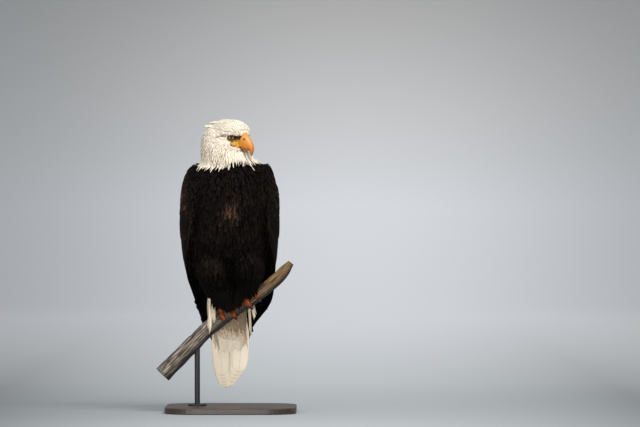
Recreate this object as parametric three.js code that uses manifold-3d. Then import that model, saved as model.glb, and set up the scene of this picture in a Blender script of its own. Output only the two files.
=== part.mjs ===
// A bald eagle at life size, sitting upright on a cut length of dead branch, over a plain display stand.
// Millimetres, +Z up. The bird faces -Y, +X is its left, and its head is turned to its left. The origin
// is the middle of the stand's underside.
import * as THREE from "three";
import { ParametricGeometry } from "three/addons/geometries/ParametricGeometry.js";
import { mergeVertices } from "three/addons/utils/BufferGeometryUtils.js";
import Module from "manifold-3d";

const wasm = await Module();
wasm.setup();

// ---- Driving dimensions -------------------------------------------------------------------------

const GAP = 0.3; // clearance left between neighbouring pieces

const STAND = { length: 340, depth: 300, thickness: 16, corner: 70, edge: 2 };
const ROD = { x: -88, radius: 7, flangeRadius: 24, flangeHeight: 5, top: 200 };

const BODY_X = -4; // the bird's own middle plane
const TRUNK = { top: 674, bottom: 288 };
const NECK = { top: 754, bottom: 608, tilt: 0.15 };
const HEAD = { x: -3, y: -4, z: 712, turn: 52, nod: 4 }; // the turn and nod are in degrees
// Half sizes, feathers included.
const SKULL = { side: 41, front: 54, back: 52, crown: 49, chin: 42, squareness: 2.8 };
const THROAT = { level: 676, lean: -0.12 }; // where the head parts from the neck
const EYE = { forward: 24, side: 23, up: 3, radius: 11.5 };
const WING = { top: 650, bottom: 162 };
const THIGH = { top: 428, rightBottom: 280, leftBottom: 308 };
const TAIL = { rootY: 84, rootZ: 318, tipY: 140, tipZ: 62, thickness: 9 };
// right and left are the x where each foot grips the branch.
const FOOT = { right: 0, left: 44, tarsusRadius: 10.5, padRadius: 12, room: 1 };
const ANKLES = { right: new THREE.Vector3(-26, 4, 314), left: new THREE.Vector3(31, 4, 336) };
const CLAW = { radius: 4.4, tipRadius: 0.7, arch: 3.4 };

// ---- Helpers ------------------------------------------------------------------------------------

const radians = THREE.MathUtils.degToRad;
const mix = THREE.MathUtils.lerp;
const eased = (t) => (1 - Math.cos(Math.PI * t)) / 2;

// A smooth curve through [station, value] keys, as a function of the station: cubic pieces whose slope
// at a key is that of the chord between its neighbours.
function profile(...keys) {
  const rising = keys[0][0] < keys.at(-1)[0] ? keys : [...keys].reverse();
  const last = rising.length - 1;
  const slope = (i) => {
    const [low, high] = [rising[Math.max(i - 1, 0)], rising[Math.min(i + 1, last)]];
    return (high[1] - low[1]) / (high[0] - low[0]);
  };
  return (station) => {
    const at = THREE.MathUtils.clamp(station, rising[0][0], rising[last][0]);
    let i = 0;
    while (i < last - 1 && at > rising[i + 1][0]) i++;
    const [[x0, y0], [x1, y1]] = [rising[i], rising[i + 1]];
    const [span, t] = [x1 - x0, (at - x0) / (x1 - x0)];
    const [t2, t3] = [t * t, t * t * t];
    return (
      y0 * (2 * t3 - 3 * t2 + 1) +
      y1 * (3 * t2 - 2 * t3) +
      slope(i) * span * (t3 - 2 * t2 + t) +
      slope(i + 1) * span * (t3 - t2)
    );
  };
}

// How full a form is at share t of its length: 1 for most of it, and rounded off to 0 at both ends.
const fullness = (t, power = 8) => Math.sqrt(Math.max(0, 1 - Math.abs(2 * t - 1) ** power));

// A closed three.js geometry as a manifold solid, with its faces turned outwards.
function solid(geometry) {
  const bare = new THREE.BufferGeometry().setAttribute("position", geometry.getAttribute("position"));
  if (geometry.index) bare.setIndex(geometry.index);
  const merged = mergeVertices(bare, 1e-3);
  const corners = [];
  for (let i = 0; i < merged.index.count; i += 3) {
    const [a, b, c] = merged.index.array.subarray(i, i + 3);
    if (a !== b && b !== c && c !== a) corners.push(a, b, c);
  }
  const made = (triangles) =>
    new wasm.Manifold(
      new wasm.Mesh({
        numProp: 3,
        vertProperties: merged.attributes.position.array,
        triVerts: new Uint32Array(triangles),
      }),
    );
  const body = made(corners);
  return body.volume() > 0 ? body : made(corners.reverse());
}

// The closed surface through rings of points, pointAt(share of the length, angle round the ring), with
// each end closed by a fan about the middle of its ring.
function loft(pointAt, rings, around) {
  const angles = Array.from({ length: around }, (_, j) => (2 * Math.PI * j) / around);
  const [start, end] = [0, 1].map((share) =>
    angles.reduce((sum, angle) => sum.add(pointAt(share, angle)), new THREE.Vector3()).divideScalar(around),
  );
  const surface = (u, v, target) => {
    const row = Math.round(v * (rings + 2)) - 1;
    if (row < 0) target.copy(start);
    else if (row > rings) target.copy(end);
    else target.copy(pointAt(row / rings, 2 * Math.PI * (u % 1)));
  };
  return solid(new ParametricGeometry(surface, around, rings + 2));
}

// A form built of level slices from top to bottom, each an oval with its own middle, width and depth.
// grow makes it larger all round, for cutting its neighbours back.
function standingForm(form, grow, rings, around) {
  const { top, bottom, middle, width, front, back, tilt = 0, end = 8 } = form;
  return loft(
    (t, angle) => {
      const share = mix(0.004, 0.996, eased(t));
      const level = mix(top, bottom, share);
      const full = fullness(share, end);
      const halfDepth = ((back(level) - front(level)) / 2) * full + grow;
      const x = middle(level) + (width(level) * full + grow) * Math.sin(angle);
      const y = (back(level) + front(level)) / 2 - halfDepth * Math.cos(angle);
      return new THREE.Vector3(x, y, mix(top + grow, bottom - grow, share) - tilt * y);
    },
    rings,
    around,
  );
}

// A round tube along points given by pathAt(t), with its radius from radiusAt(t).
function taperedTube(pathAt, radiusAt, rings, around) {
  const step = 1e-3;
  return loft(
    (t, angle) => {
      const along = pathAt(t + step).sub(pathAt(t - step)).normalize();
      const sideways = new THREE.Vector3(0, 1, 0).cross(along);
      if (sideways.lengthSq() < 0.05) sideways.set(1, 0, 0).cross(along);
      sideways.normalize();
      const across = along.clone().cross(sideways);
      return pathAt(t)
        .addScaledVector(sideways, radiusAt(t) * Math.cos(angle))
        .addScaledVector(across, radiusAt(t) * Math.sin(angle));
    },
    rings,
    around,
  );
}

// ---- Trunk, neck, wings, thighs and tail ----------------------------------------------------------

const trunkForm = {
  ...TRUNK,
  middle: () => BODY_X,
  width: profile(
    [674, 62], [660, 87], [648, 98], [634, 101], [600, 102], [550, 105], [500, 107], [400, 101],
    [340, 84], [300, 66],
  ),
  front: profile(
    [668, -30], [640, -64], [600, -87], [550, -101], [500, -108], [450, -104], [400, -86],
    [350, -34], [300, 20],
  ),
  back: profile(
    [668, 50], [640, 72], [600, 89], [550, 104], [500, 112], [450, 116], [350, 113], [300, 104],
  ),
};

const neckForm = {
  ...NECK,
  middle: profile([612, -6], [640, -5], [660, -11], [690, -19], [754, -26]),
  width: profile([612, 66], [640, 74], [660, 70], [690, 64], [712, 56], [735, 44], [754, 31]),
  front: profile([612, -66], [640, -68], [660, -62], [690, -50], [712, -38], [754, -12]),
  back: profile([612, 74], [640, 72], [690, 62], [712, 57], [735, 46], [754, 30]),
};

// The folded wing is a curved plate. At each level it runs round an oval, from its leading edge beside
// the breast to its trailing edge on the back, and below the body it narrows to the wing tip.
const wingForm = {
  middle: profile([652, 0], [600, -2], [500, -4], [350, -2], [305, 4], [270, 3], [228, -7], [162, -6]),
  width: profile(
    [652, 92], [634, 110], [600, 126], [545, 133], [490, 131], [416, 124], [340, 114], [291, 103],
    [250, 84], [208, 62], [162, 44],
  ),
  front: profile(
    [652, -64], [620, -84], [550, -110], [480, -116], [400, -106], [350, -86], [320, -62],
    [285, -24], [250, 28], [218, 68], [162, 104],
  ),
  back: profile(
    [652, 74], [620, 90], [550, 112], [480, 121], [400, 124], [320, 122], [260, 126], [218, 132],
    [162, 144],
  ),
  leading: profile(
    [652, 44], [600, 46], [520, 51], [450, 60], [400, 76], [364, 92], [322, 93], [250, 91],
    [162, 88],
  ),
  trailing: profile(
    [652, 140], [600, 152], [540, 165], [460, 171], [400, 173], [322, 171], [250, 163], [162, 146],
  ),
  thickness: profile(
    [652, 26], [600, 28], [500, 27], [400, 24], [322, 17], [250, 11], [200, 8], [162, 6],
  ),
};

function wing(side, grow) {
  return loft(
    (t, angle) => {
      const share = mix(0.004, 0.996, eased(t));
      const level = mix(WING.top, WING.bottom, share);
      const full = fullness(share, 7);
      const middleAngle = (wingForm.leading(level) + wingForm.trailing(level)) / 2;
      const halfChord = ((wingForm.trailing(level) - wingForm.leading(level)) / 2) * full + 2 * grow;
      const round = radians(middleAngle - halfChord * Math.cos(angle));
      const halfThick = (wingForm.thickness(level) / 2) * full;
      const out = halfThick * Math.sign(Math.sin(angle)) * Math.abs(Math.sin(angle)) ** 0.7 - halfThick;
      const reach = out + grow * Math.sign(Math.sin(angle));
      const middle = (wingForm.front(level) + wingForm.back(level)) / 2;
      const depth = (wingForm.back(level) - wingForm.front(level)) / 2;
      return new THREE.Vector3(
        wingForm.middle(level) + side * (wingForm.width(level) + reach) * Math.sin(round),
        middle - (depth + reach) * Math.cos(round),
        mix(WING.top + grow, WING.bottom - grow, share),
      );
    },
    17,
    12,
  );
}

function thigh(side, grow) {
  const bottom = side < 0 ? THIGH.rightBottom : THIGH.leftBottom;
  const form = {
    top: THIGH.top,
    bottom,
    middle: profile([THIGH.top, side * 46], [350, side * 44], [bottom, side < 0 ? -28 : 34]),
    width: profile([THIGH.top, 34], [390, 43], [350, 42], [bottom, 29]),
    front: profile([THIGH.top, -60], [390, -90], [350, -84], [bottom, -42]),
    back: profile([THIGH.top, 30], [390, 28], [bottom, 24]),
    end: 5,
  };
  return standingForm(form, grow, 8, 12);
}

// The tail is a closed fan of long feathers: a flat blade whose end is a blunt wedge.
const tailWidth = profile(
  [0, 30], [0.45, 43], [0.61, 45], [0.79, 40], [0.84, 31], [0.89, 26], [0.96, 22], [1, 15],
);
const tailMiddle = profile([0, BODY_X], [0.61, -5], [0.79, -1], [0.84, -7], [0.96, -7], [1, -10]);

// A flat blade along the tail, from share start to share stop of its length, set off by a distance from
// the tail's own middle surface: negative is the underside, towards the front.
function blade(form, grow, rings, around) {
  const { start, stop, width, middle = () => BODY_X, thickness, offset = () => 0 } = form;
  const root = new THREE.Vector3(0, TAIL.rootY, TAIL.rootZ);
  const tip = new THREE.Vector3(0, TAIL.tipY, TAIL.tipZ);
  const along = tip.clone().sub(root);
  const backwards = new THREE.Vector3(1, 0, 0).cross(along).normalize();
  return loft(
    (t, angle) => {
      const share = mix(0.004, 0.996, eased(t));
      const full = fullness(share, 24);
      const at = mix(start, stop, share);
      const halfWidth = width(at) * full + grow;
      const halfThick = (thickness(at) / 2) * full + grow;
      return root
        .clone()
        .addScaledVector(along, at)
        .addScaledVector(backwards, offset(at) - halfThick * Math.cos(angle))
        .add(new THREE.Vector3(middle(at) + halfWidth * Math.sin(angle), 0, 0));
    },
    rings,
    around,
  );
}

const tail = (grow) =>
  blade(
    { start: 0, stop: 1, width: tailWidth, middle: tailMiddle, thickness: () => TAIL.thickness },
    grow,
    12,
    10,
  );

const undertailCoverts = (grow) =>
  blade(
    {
      start: -0.05,
      stop: 0.52,
      width: profile([-0.05, 40], [0.2, 43], [0.52, 40]),
      thickness: profile([-0.05, 52], [0.2, 40], [0.52, 8]),
      offset: profile([-0.05, -30], [0.2, -22], [0.52, -7]),
    },
    grow,
    5,
    12,
  );

const rumpCoverts = (grow) =>
  blade(
    {
      start: -0.12,
      stop: 0.42,
      width: profile([-0.12, 30], [0.1, 38], [0.42, 32]),
      thickness: profile([-0.12, 16], [0.42, 8]),
      offset: profile([-0.12, 16], [0.42, 6]),
    },
    grow,
    5,
    12,
  );

// ---- Head, bill and eyes, in the head's own frame: -Y forward, +X the bird's left, +Z up ------------

const headFrame = new THREE.Matrix4().compose(
  new THREE.Vector3(HEAD.x, HEAD.y, HEAD.z),
  new THREE.Quaternion().setFromEuler(new THREE.Euler(radians(HEAD.nod), 0, radians(HEAD.turn), "ZYX")),
  new THREE.Vector3(1, 1, 1),
);

// How near a direction lies to another, from 1 on it to 0 far off, with the given spread in radians.
const near = (direction, x, y, z, spread) =>
  Math.exp(-((direction.angleTo(new THREE.Vector3(x, y, z)) / spread) ** 2));

// The distance from the head's middle to its surface: a squarish egg whose half sizes differ front to back
// and top to bottom, with a brow shelf over each eye, a hollow for the eye, and a lower face drawn in
// towards the bill.
function skullReach(direction) {
  const [x, y, z] = direction.toArray();
  const length = y < 0 ? SKULL.front : SKULL.back;
  const height = z > 0 ? SKULL.crown : SKULL.chin;
  const power = SKULL.squareness;
  const shares = [x / SKULL.side, y / length, z / height];
  const egg = shares.reduce((sum, share) => sum + Math.abs(share) ** power, 0) ** (-1 / power);
  const outward = new THREE.Vector3(Math.abs(x), y, z);
  return (
    egg +
    3 * near(outward, 0.62, -0.7, 0.36, 0.24) -
    12 * near(outward, 0.69, -0.72, 0.02, 0.27) -
    6 * near(outward, 0.34, -0.9, -0.28, 0.35)
  );
}

function skull(grow) {
  return loft(
    (t, angle) => {
      const polar = Math.PI * mix(0.01, 0.99, t ** 1.2);
      const direction = new THREE.Vector3(
        Math.sin(polar) * Math.sin(angle),
        -Math.cos(polar),
        Math.sin(polar) * Math.cos(angle),
      );
      return direction.clone().multiplyScalar(skullReach(direction) + grow);
    },
    14,
    20,
  ).transform(headFrame.elements);
}

// The bill's side view, forward and up from the head's middle.
const ridge = new THREE.SplineCurve(
  [
    [38, 20], [46, 17.5], [57, 11], [67, 2], [75, -9], [79.6, -20], [80.2, -28], [78.6, -36],
    [76, -42.5],
  ].map(([forward, up]) => new THREE.Vector2(forward, up)),
);
const cuttingEdge = new THREE.SplineCurve(
  [
    [34, -20], [38, -21], [46, -22.5], [58, -25], [65, -25], [69.5, -29], [72.5, -36],
    [75.4, -41.8],
  ].map(([forward, up]) => new THREE.Vector2(forward, up)),
);
const upperBillWidth = profile([0, 14.5], [0.3, 13.5], [0.5, 10.5], [0.75, 6], [0.95, 2.4], [1, 1.2]);

// Each slice of the upper bill joins the ridge to the cutting edge: round above and square below.
function upperBill(grow) {
  return loft(
    (t, angle) => {
      const [top, low] = [ridge.getPoint(t), cuttingEdge.getPoint(t)];
      const middle = top.clone().add(low).multiplyScalar(0.5);
      const half = top.clone().sub(low).multiplyScalar(0.5);
      const reach = 1 + grow / Math.max(half.length(), 2);
      const boxy = Math.cos(angle) > 0 ? 1 : 0.55;
      const up = Math.sign(Math.cos(angle)) * Math.abs(Math.cos(angle)) ** boxy * reach;
      const across = Math.sign(Math.sin(angle)) * Math.abs(Math.sin(angle)) ** boxy;
      return new THREE.Vector3(
        (upperBillWidth(t) + grow) * across,
        -(middle.x + half.x * up),
        middle.y + half.y * up,
      );
    },
    14,
    10,
  ).transform(headFrame.elements);
}

const lowerBillWidth = profile([0, 12.5], [0.5, 10], [0.85, 7], [1, 3]);
const lowerBillTop = profile([0, -17], [0.4, -20], [0.85, -23], [1, -25]);
const lowerBillDepth = profile([0, 11], [0.5, 11], [0.85, 8], [1, 4]);

function lowerBill(grow) {
  return loft(
    (t, angle) => {
      const halfDepth = lowerBillDepth(t) / 2;
      return new THREE.Vector3(
        (lowerBillWidth(t) + grow) * Math.sin(angle) * 0.9,
        -mix(32, 66, t),
        lowerBillTop(t) - halfDepth + (halfDepth + grow) * Math.cos(angle),
      );
    },
    6,
    8,
  ).transform(headFrame.elements);
}

function eye(side, grow) {
  const ball = new THREE.SphereGeometry(EYE.radius + grow, 12, 8);
  return solid(ball.translate(side * EYE.side, -EYE.forward, EYE.up)).transform(headFrame.elements);
}

// ---- Branch and feet ------------------------------------------------------------------------------

const branchHeight = profile(
  [-178, 97], [-159, 117], [-102, 174], [-60, 216], [3, 262], [64, 301], [123, 349], [156, 388],
);
const branchRadius = profile(
  [-178, 22.5], [-60, 20.5], [3, 18.5], [64, 17.5], [123, 16.5], [142, 14], [156, 8],
);
const branchEnds = [-178, 156];

function branch(grow) {
  const bumps = (t) => 0.6 * Math.sin(23 * t) + 0.5 * Math.sin(41 * t + 1);
  return taperedTube(
    (t) => {
      const x = mix(...branchEnds, t);
      return new THREE.Vector3(x, 0, branchHeight(x));
    },
    (t) => branchRadius(mix(...branchEnds, t)) + bumps(t) + grow,
    18,
    11,
  );
}

// A point beside the branch: at x along it, turned by an angle from its upper side towards the front,
// at a distance from its middle line.
function besideBranch(x, angle, distance) {
  const slope = Math.atan(branchHeight(x + 1) - branchHeight(x));
  return new THREE.Vector3(
    x - Math.sin(slope) * Math.cos(angle) * distance,
    -Math.sin(angle) * distance,
    branchHeight(x) + Math.cos(slope) * Math.cos(angle) * distance,
  );
}

// The four toes: how far each one's end lies along the branch from its root, and how far round the
// branch it reaches, in degrees from the top. The hind toe goes round the back.
const TOES = {
  inner: { drift: 16, reach: 98, radius: 7.4, claw: 50 },
  middle: { drift: 1, reach: 128, radius: 7.8, claw: 42 },
  outer: { drift: -20, reach: 104, radius: 7.2, claw: 42 },
  hind: { drift: -2, reach: -96, radius: 8, claw: -56 },
};

const sideOf = (root) => (root === FOOT.right ? 1 : -1);

function toePath(root, { drift, reach, radius }, grow) {
  const beyond = Math.sign(reach) * 2 * grow;
  return (t) => {
    const x = root + sideOf(root) * drift * eased(Math.min(Math.max(t, 0), 1) ** 0.6);
    const clear = branchRadius(x) + 1.6 + radius * mix(1.15, 0.8, t);
    return besideBranch(x, radians(mix(0.02 * reach - beyond, reach + beyond, t)), clear);
  };
}

// The foot: a short shank, the ball that stands on the branch, and four knuckled toes round it.
function foot(root, ankle, grow) {
  const knuckled = (radius) => (t) => radius * (1.12 - 0.34 * t + 0.09 * Math.cos(6 * Math.PI * t)) + grow;
  const ball = besideBranch(root, 0, branchRadius(root) + FOOT.padRadius + 1.2);
  const shank = taperedTube(
    (t) => ball.clone().lerp(ankle, t * (1 + grow / 10)),
    (t) => mix(FOOT.padRadius, FOOT.tarsusRadius, t) + grow,
    1,
    8,
  );
  const pad = solid(new THREE.SphereGeometry(FOOT.padRadius + 0.6 + grow, 8, 5).translate(...ball.toArray()));
  const toes = Object.values(TOES).map((toe) =>
    taperedTube(toePath(root, toe, grow), knuckled(toe.radius), 6, 7),
  );
  return [shank, pad, ...toes].reduce((whole, piece) => whole.add(piece));
}

// A claw curves on round the branch from the end of its toe, arching off the wood between the two.
function claw(root, { drift, reach, radius, claw: sweep }) {
  const x = root + sideOf(root) * drift;
  const start = branchRadius(x) + 1.6 + radius * 0.8;
  const end = branchRadius(x) + 1.4 + CLAW.tipRadius;
  return taperedTube(
    (t) => besideBranch(x, radians(reach + sweep * t), mix(start, end, t) + CLAW.arch * Math.sin(Math.PI * t)),
    (t) => mix(CLAW.radius, CLAW.tipRadius, Math.max(t, 0) ** 1.4),
    5,
    5,
  );
}

// ---- Stand ----------------------------------------------------------------------------------------

function standBase() {
  const { length, depth, thickness, corner, edge } = STAND;
  const [halfLength, halfDepth] = [length / 2 - edge, depth / 2 - edge];
  const outline = new THREE.Shape();
  for (const [x, y, start] of [[1, 1, 0], [-1, 1, 90], [-1, -1, 180], [1, -1, 270]]) {
    const [middleX, middleY] = [x * (halfLength - corner), y * (halfDepth - corner)];
    outline.absarc(middleX, middleY, corner, radians(start), radians(start + 90));
  }
  return solid(
    new THREE.ExtrudeGeometry(outline, {
      depth: thickness - 2 * edge,
      bevelThickness: edge,
      bevelSize: edge,
      bevelSegments: 1,
      curveSegments: 4,
    }).translate(0, 0, edge),
  );
}

function standRod() {
  const { radius, flangeRadius, flangeHeight, top } = ROD;
  const bottom = STAND.thickness + GAP;
  const shoulder = bottom + flangeHeight;
  const outline = [
    [0, bottom],
    [flangeRadius, bottom],
    [flangeRadius, shoulder - 1],
    [flangeRadius - 1, shoulder],
    [radius, shoulder],
    [radius, top],
    [0, top],
  ];
  return solid(
    new THREE.LatheGeometry(outline.map(([r, z]) => new THREE.Vector2(r, z)), 16)
      .rotateX(Math.PI / 2)
      .translate(ROD.x, 0, 0),
  );
}

// ---- Assembly: each piece is cut back by the pieces that it gives way to ----------------------------

const LOOKS = {
  white: { color: 0xf2e6d2, roughness: 0.8 },
  dark: { color: 0x1c1512, roughness: 0.7 },
  horn: { color: 0xf2a03a, roughness: 0.4 },
  iris: { color: 0xd8cfa0, roughness: 0.1 },
  skin: { color: 0xd98a2b, roughness: 0.6 },
  talon: { color: 0x14110f, roughness: 0.3 },
  deadwood: { color: 0x7d6f5d, roughness: 0.85 },
  plinth: { color: 0x2b211b, roughness: 0.5 },
  steel: { color: 0x1b1b1c, roughness: 0.45, metalness: 0.6 },
};

const trunk = (grow) => standingForm(trunkForm, grow, 14, 22);
const headAndNeck = (grow) => standingForm(neckForm, grow, 10, 22).add(skull(grow));

// Head and neck are one form, parted by a thin cut that leans back.
const throatCut = new THREE.BoxGeometry(400, 400, GAP).rotateX(THROAT.lean).translate(0, 0, THROAT.level);
const [neck, head] = headAndNeck(0)
  .subtract(solid(throatCut))
  .decompose()
  .sort((a, b) => a.boundingBox().min[2] - b.boundingBox().min[2]);

const eagle = new THREE.Group();

// Adds a piece to the model, cut back by the neighbours that it gives way to.
function add(name, looks, shape, ...neighbours) {
  const pieces = neighbours.reduce((rest, neighbour) => rest.subtract(neighbour), shape).decompose();
  const body = pieces.reduce((best, next) => (next.volume() > best.volume() ? next : best));
  const { vertProperties, triVerts } = body.getMesh();
  const geometry = new THREE.BufferGeometry()
    .setAttribute("position", new THREE.BufferAttribute(vertProperties, 3))
    .setIndex(new THREE.BufferAttribute(triVerts, 1));
  geometry.computeVertexNormals();
  const mesh = new THREE.Mesh(geometry, new THREE.MeshStandardMaterial(LOOKS[looks]));
  mesh.name = name;
  eagle.add(mesh);
}

const mane = headAndNeck(GAP);
const body = mane.add(trunk(GAP));
const perch = branch(GAP);
const [rightWing, leftWing] = [wing(-1, GAP), wing(1, GAP)];
const [rightThigh, leftThigh] = [thigh(-1, GAP), thigh(1, GAP)];
const feet = foot(FOOT.right, ANKLES.right, FOOT.room).add(foot(FOOT.left, ANKLES.left, FOOT.room));
const bill = upperBill(GAP);

add("head", "white", head, eye(-1, GAP), eye(1, GAP), bill, lowerBill(GAP));
add("neck", "white", neck, bill, lowerBill(GAP));
add("trunk", "dark", trunk(0), mane, feet);
add("eye_right", "iris", eye(-1, 0));
add("eye_left", "iris", eye(1, 0));
add("bill_upper", "horn", upperBill(0), eye(-1, GAP), eye(1, GAP));
add("bill_lower", "horn", lowerBill(0), bill);
add("wing_right", "dark", wing(-1, 0), body);
add("wing_left", "dark", wing(1, 0), body);
add("thigh_right", "dark", thigh(-1, 0), body, rightWing, perch, feet);
add("thigh_left", "dark", thigh(1, 0), body, leftWing, perch, feet);
add("tail", "white", tail(0), body, rightWing, leftWing);
add("rump_coverts", "white", rumpCoverts(0), body, tail(GAP), rightWing, leftWing);
add(
  "undertail_coverts",
  "white",
  undertailCoverts(0),
  body,
  tail(GAP),
  rightWing,
  leftWing,
  rightThigh,
  leftThigh,
  perch,
  feet,
);
for (const side of ["right", "left"]) {
  add(`foot_${side}`, "skin", foot(FOOT[side], ANKLES[side], 0));
  for (const [name, toe] of Object.entries(TOES)) {
    add(`claw_${side}_${name}`, "talon", claw(FOOT[side], toe), foot(FOOT[side], ANKLES[side], GAP));
  }
}
add("perch_branch", "deadwood", branch(0));
add("stand_rod", "steel", standRod(), perch);
add("stand_base", "plinth", standBase());

export default eagle;
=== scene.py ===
"""A bald eagle on a cut branch over a plain display stand: its skin, feathers, bill, eyes, feet, wood and light.

Shapes are worked out in millimetres and put into the meshes in metres.
"""

import bpy
import numpy as np
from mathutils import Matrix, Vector


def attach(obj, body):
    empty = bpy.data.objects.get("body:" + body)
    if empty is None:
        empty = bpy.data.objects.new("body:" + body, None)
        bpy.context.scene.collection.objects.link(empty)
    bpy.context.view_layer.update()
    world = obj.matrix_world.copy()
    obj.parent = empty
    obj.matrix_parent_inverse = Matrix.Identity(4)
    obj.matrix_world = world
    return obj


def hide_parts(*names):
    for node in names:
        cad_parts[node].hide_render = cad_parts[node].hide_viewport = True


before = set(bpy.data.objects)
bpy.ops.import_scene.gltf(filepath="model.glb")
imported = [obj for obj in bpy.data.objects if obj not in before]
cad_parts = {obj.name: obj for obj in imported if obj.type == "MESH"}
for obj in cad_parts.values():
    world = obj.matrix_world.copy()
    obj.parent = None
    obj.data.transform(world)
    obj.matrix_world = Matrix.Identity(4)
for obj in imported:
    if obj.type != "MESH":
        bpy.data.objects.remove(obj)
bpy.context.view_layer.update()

MM = 0.001
RNG = np.random.default_rng(11)
FEET = ["foot_right", "foot_left"]
WINGS = ["wing_right", "wing_left"]
THIGHS = ["thigh_right", "thigh_left"]
COVERTS = ["rump_coverts", "undertail_coverts"]
FLESH = ["head", "neck", "trunk", *WINGS, *THIGHS, "tail", *COVERTS]


# ---- Small tools ----------------------------------------------------------------------------------


def unit(vectors):
    """Vectors divided by their own lengths."""
    return vectors / np.maximum(np.linalg.norm(vectors, axis=-1, keepdims=True), 1e-9)


def mix(low, high, share):
    """Low at share 0 and high at share 1."""
    return low + (high - low) * share


def ramp(value, low, high):
    """0 below low, 1 above high, and 3t²-2t³ between them."""
    t = np.clip((value - low) / (high - low), 0, 1)
    return t * t * (3 - 2 * t)


def bump(points, middle, reach):
    """A soft spot about a middle: e to the minus (distance / reach) squared."""
    return np.exp(-(((points - np.array(middle)) / np.array(reach)) ** 2).sum(-1))


def circle(count):
    """Angles evenly round a full turn, the first at 0."""
    return np.linspace(0, 2 * np.pi, count, endpoint=False)


def stacked(*parts):
    """Numbers and arrays brought to one shape and stacked along a new last axis."""
    return np.stack(np.broadcast_arrays(*parts), -1)


def profile(*keys):
    """A smooth curve through (station, value) keys: cubic pieces whose slope at a key is its neighbours' chord."""
    station, value = np.array(sorted(keys), float).T
    before = np.maximum(np.arange(len(station)) - 1, 0)
    after = np.minimum(np.arange(len(station)) + 1, len(station) - 1)
    slope = (value[after] - value[before]) / (station[after] - station[before])

    def curve(at):
        at = np.clip(at, station[0], station[-1])
        i = np.clip(np.searchsorted(station, at, side="right") - 1, 0, len(station) - 2)
        span = station[i + 1] - station[i]
        t = (at - station[i]) / span
        ends = value[i] * (2 * t**3 - 3 * t**2 + 1) + value[i + 1] * (3 * t**2 - 2 * t**3)
        return ends + span * (slope[i] * (t**3 - 2 * t**2 + t) + slope[i + 1] * (t**3 - t**2))

    return curve


LATTICE = np.random.default_rng(7).uniform(-1, 1, 4096)
HASH_PRIMES = np.array([73856093, 19349663, 83492791])


def noise(points, size):
    """Smooth noise from -1 to 1 in lumps of a size: random lattice values, blended by 3t²-2t³ along each axis."""
    grid = np.asarray(points, float) / size
    cell = np.floor(grid).astype(np.int64)
    t = grid - cell
    t = t * t * (3 - 2 * t)
    total = 0
    for corner in np.ndindex(2, 2, 2):
        key = (cell + corner) @ HASH_PRIMES % len(LATTICE)
        total = total + np.prod(np.where(corner, t, 1 - t), axis=-1) * LATTICE[key]
    return total


# ---- Materials ------------------------------------------------------------------------------------


def linear(hex_colour):
    """An sRGB hex colour in linear light: ((c + 0.055) / 1.055) to the power 2.4 above its straight toe."""
    c = np.array([int(hex_colour[i : i + 2], 16) for i in (1, 3, 5)]) / 255
    c = np.where(c <= 0.04045, c / 12.92, ((c + 0.055) / 1.055) ** 2.4)
    return (*c.tolist(), 1.0)


class Shade:
    """A shader node's output, so that maths nodes are written as sums: the other value may be a number or a Shade."""

    def __init__(self, tree, socket):
        self.tree, self.socket = tree, socket

    def sum(self, operation, *others, clamp=False):
        """A maths node's result for this value and others."""
        return add(self.tree, "Math", dict(enumerate((self, *others))), operation=operation, use_clamp=clamp)

    def __add__(self, other):
        return self.sum("ADD", other)

    def __sub__(self, other):
        return self.sum("SUBTRACT", other)

    def __mul__(self, other):
        return self.sum("MULTIPLY", other)

    def __pow__(self, other):
        return self.sum("POWER", other)

    def held(self):
        """This value, kept from 0 to 1."""
        return self.sum("ADD", 0.0, clamp=True)

    def between(self, first, second):
        """The colour this share of the way from the first to the second."""
        return add(self.tree, "Mix", {0: self, 6: first, 7: second}, 2, data_type="RGBA")

    def coloured(self, *stops):
        """The colour at this value, between stops of a place and a hex colour."""
        colour = add(self.tree, "ValToRGB", {0: self})
        elements = colour.socket.node.color_ramp.elements
        while len(elements) < len(stops):
            elements.new(0.5)
        for element, (place, hex_colour) in zip(elements, stops):
            element.position, element.color = place, linear(hex_colour)
        return colour

    def parts(self):
        """The three numbers of this vector."""
        first = add(self.tree, "SeparateXYZ", {0: self})
        return [Shade(self.tree, output) for output in first.socket.node.outputs]


def put(value, socket, tree):
    """Links a Shade to a socket, or sets the socket to a number or a hex colour."""
    if isinstance(value, Shade):
        tree.links.new(value.socket, socket)
    else:
        socket.default_value = linear(value) if isinstance(value, str) else value


def add(tree, kind, inputs=None, output=0, **settings):
    """One output of a new node that has these settings and inputs."""
    node = tree.nodes.new("ShaderNode" + kind)
    for key, value in settings.items():
        setattr(node, key, value)
    for key, value in (inputs or {}).items():
        put(value, node.inputs[key], tree)
    return Shade(tree, node.outputs[output])


def object_place(tree):
    """Where a point lies in its object, in metres."""
    return add(tree, "TexCoord", output="Object")


def cloud(tree, scale, detail, place=None, **inputs):
    """Noise about 0.5, in lumps of about 1 / scale."""
    return add(tree, "TexNoise", {"Vector": place or object_place(tree), "Scale": scale, "Detail": detail, **inputs})


def numbers(tree, name):
    """The three numbers of a piece's own attribute."""
    return add(tree, "Attribute", output="Vector", attribute_name=name).parts()


def shader_inputs(base, roughness, height, strength, distance):
    """A base colour and a roughness, with the normal of a relief: its height, its strength and its depth in metres."""
    normal = add(base.tree, "Bump", {"Strength": strength, "Distance": distance, "Height": height})
    return {"Base Color": base, "Roughness": roughness, "Normal": normal}


def finish(name, build, **constants):
    """A material: build(tree) gives the shader's inputs, and constants go straight on the shader's own sockets."""
    material = bpy.data.materials.new(name)
    material.use_nodes = True
    tree = material.node_tree
    for key, value in (constants | build(tree)).items():
        put(value, tree.nodes["Principled BSDF"].inputs[key.replace("_", " ")], tree)
    return material


BARB_PHASE = 95.0  # radians from a vane's root to its tip


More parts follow.
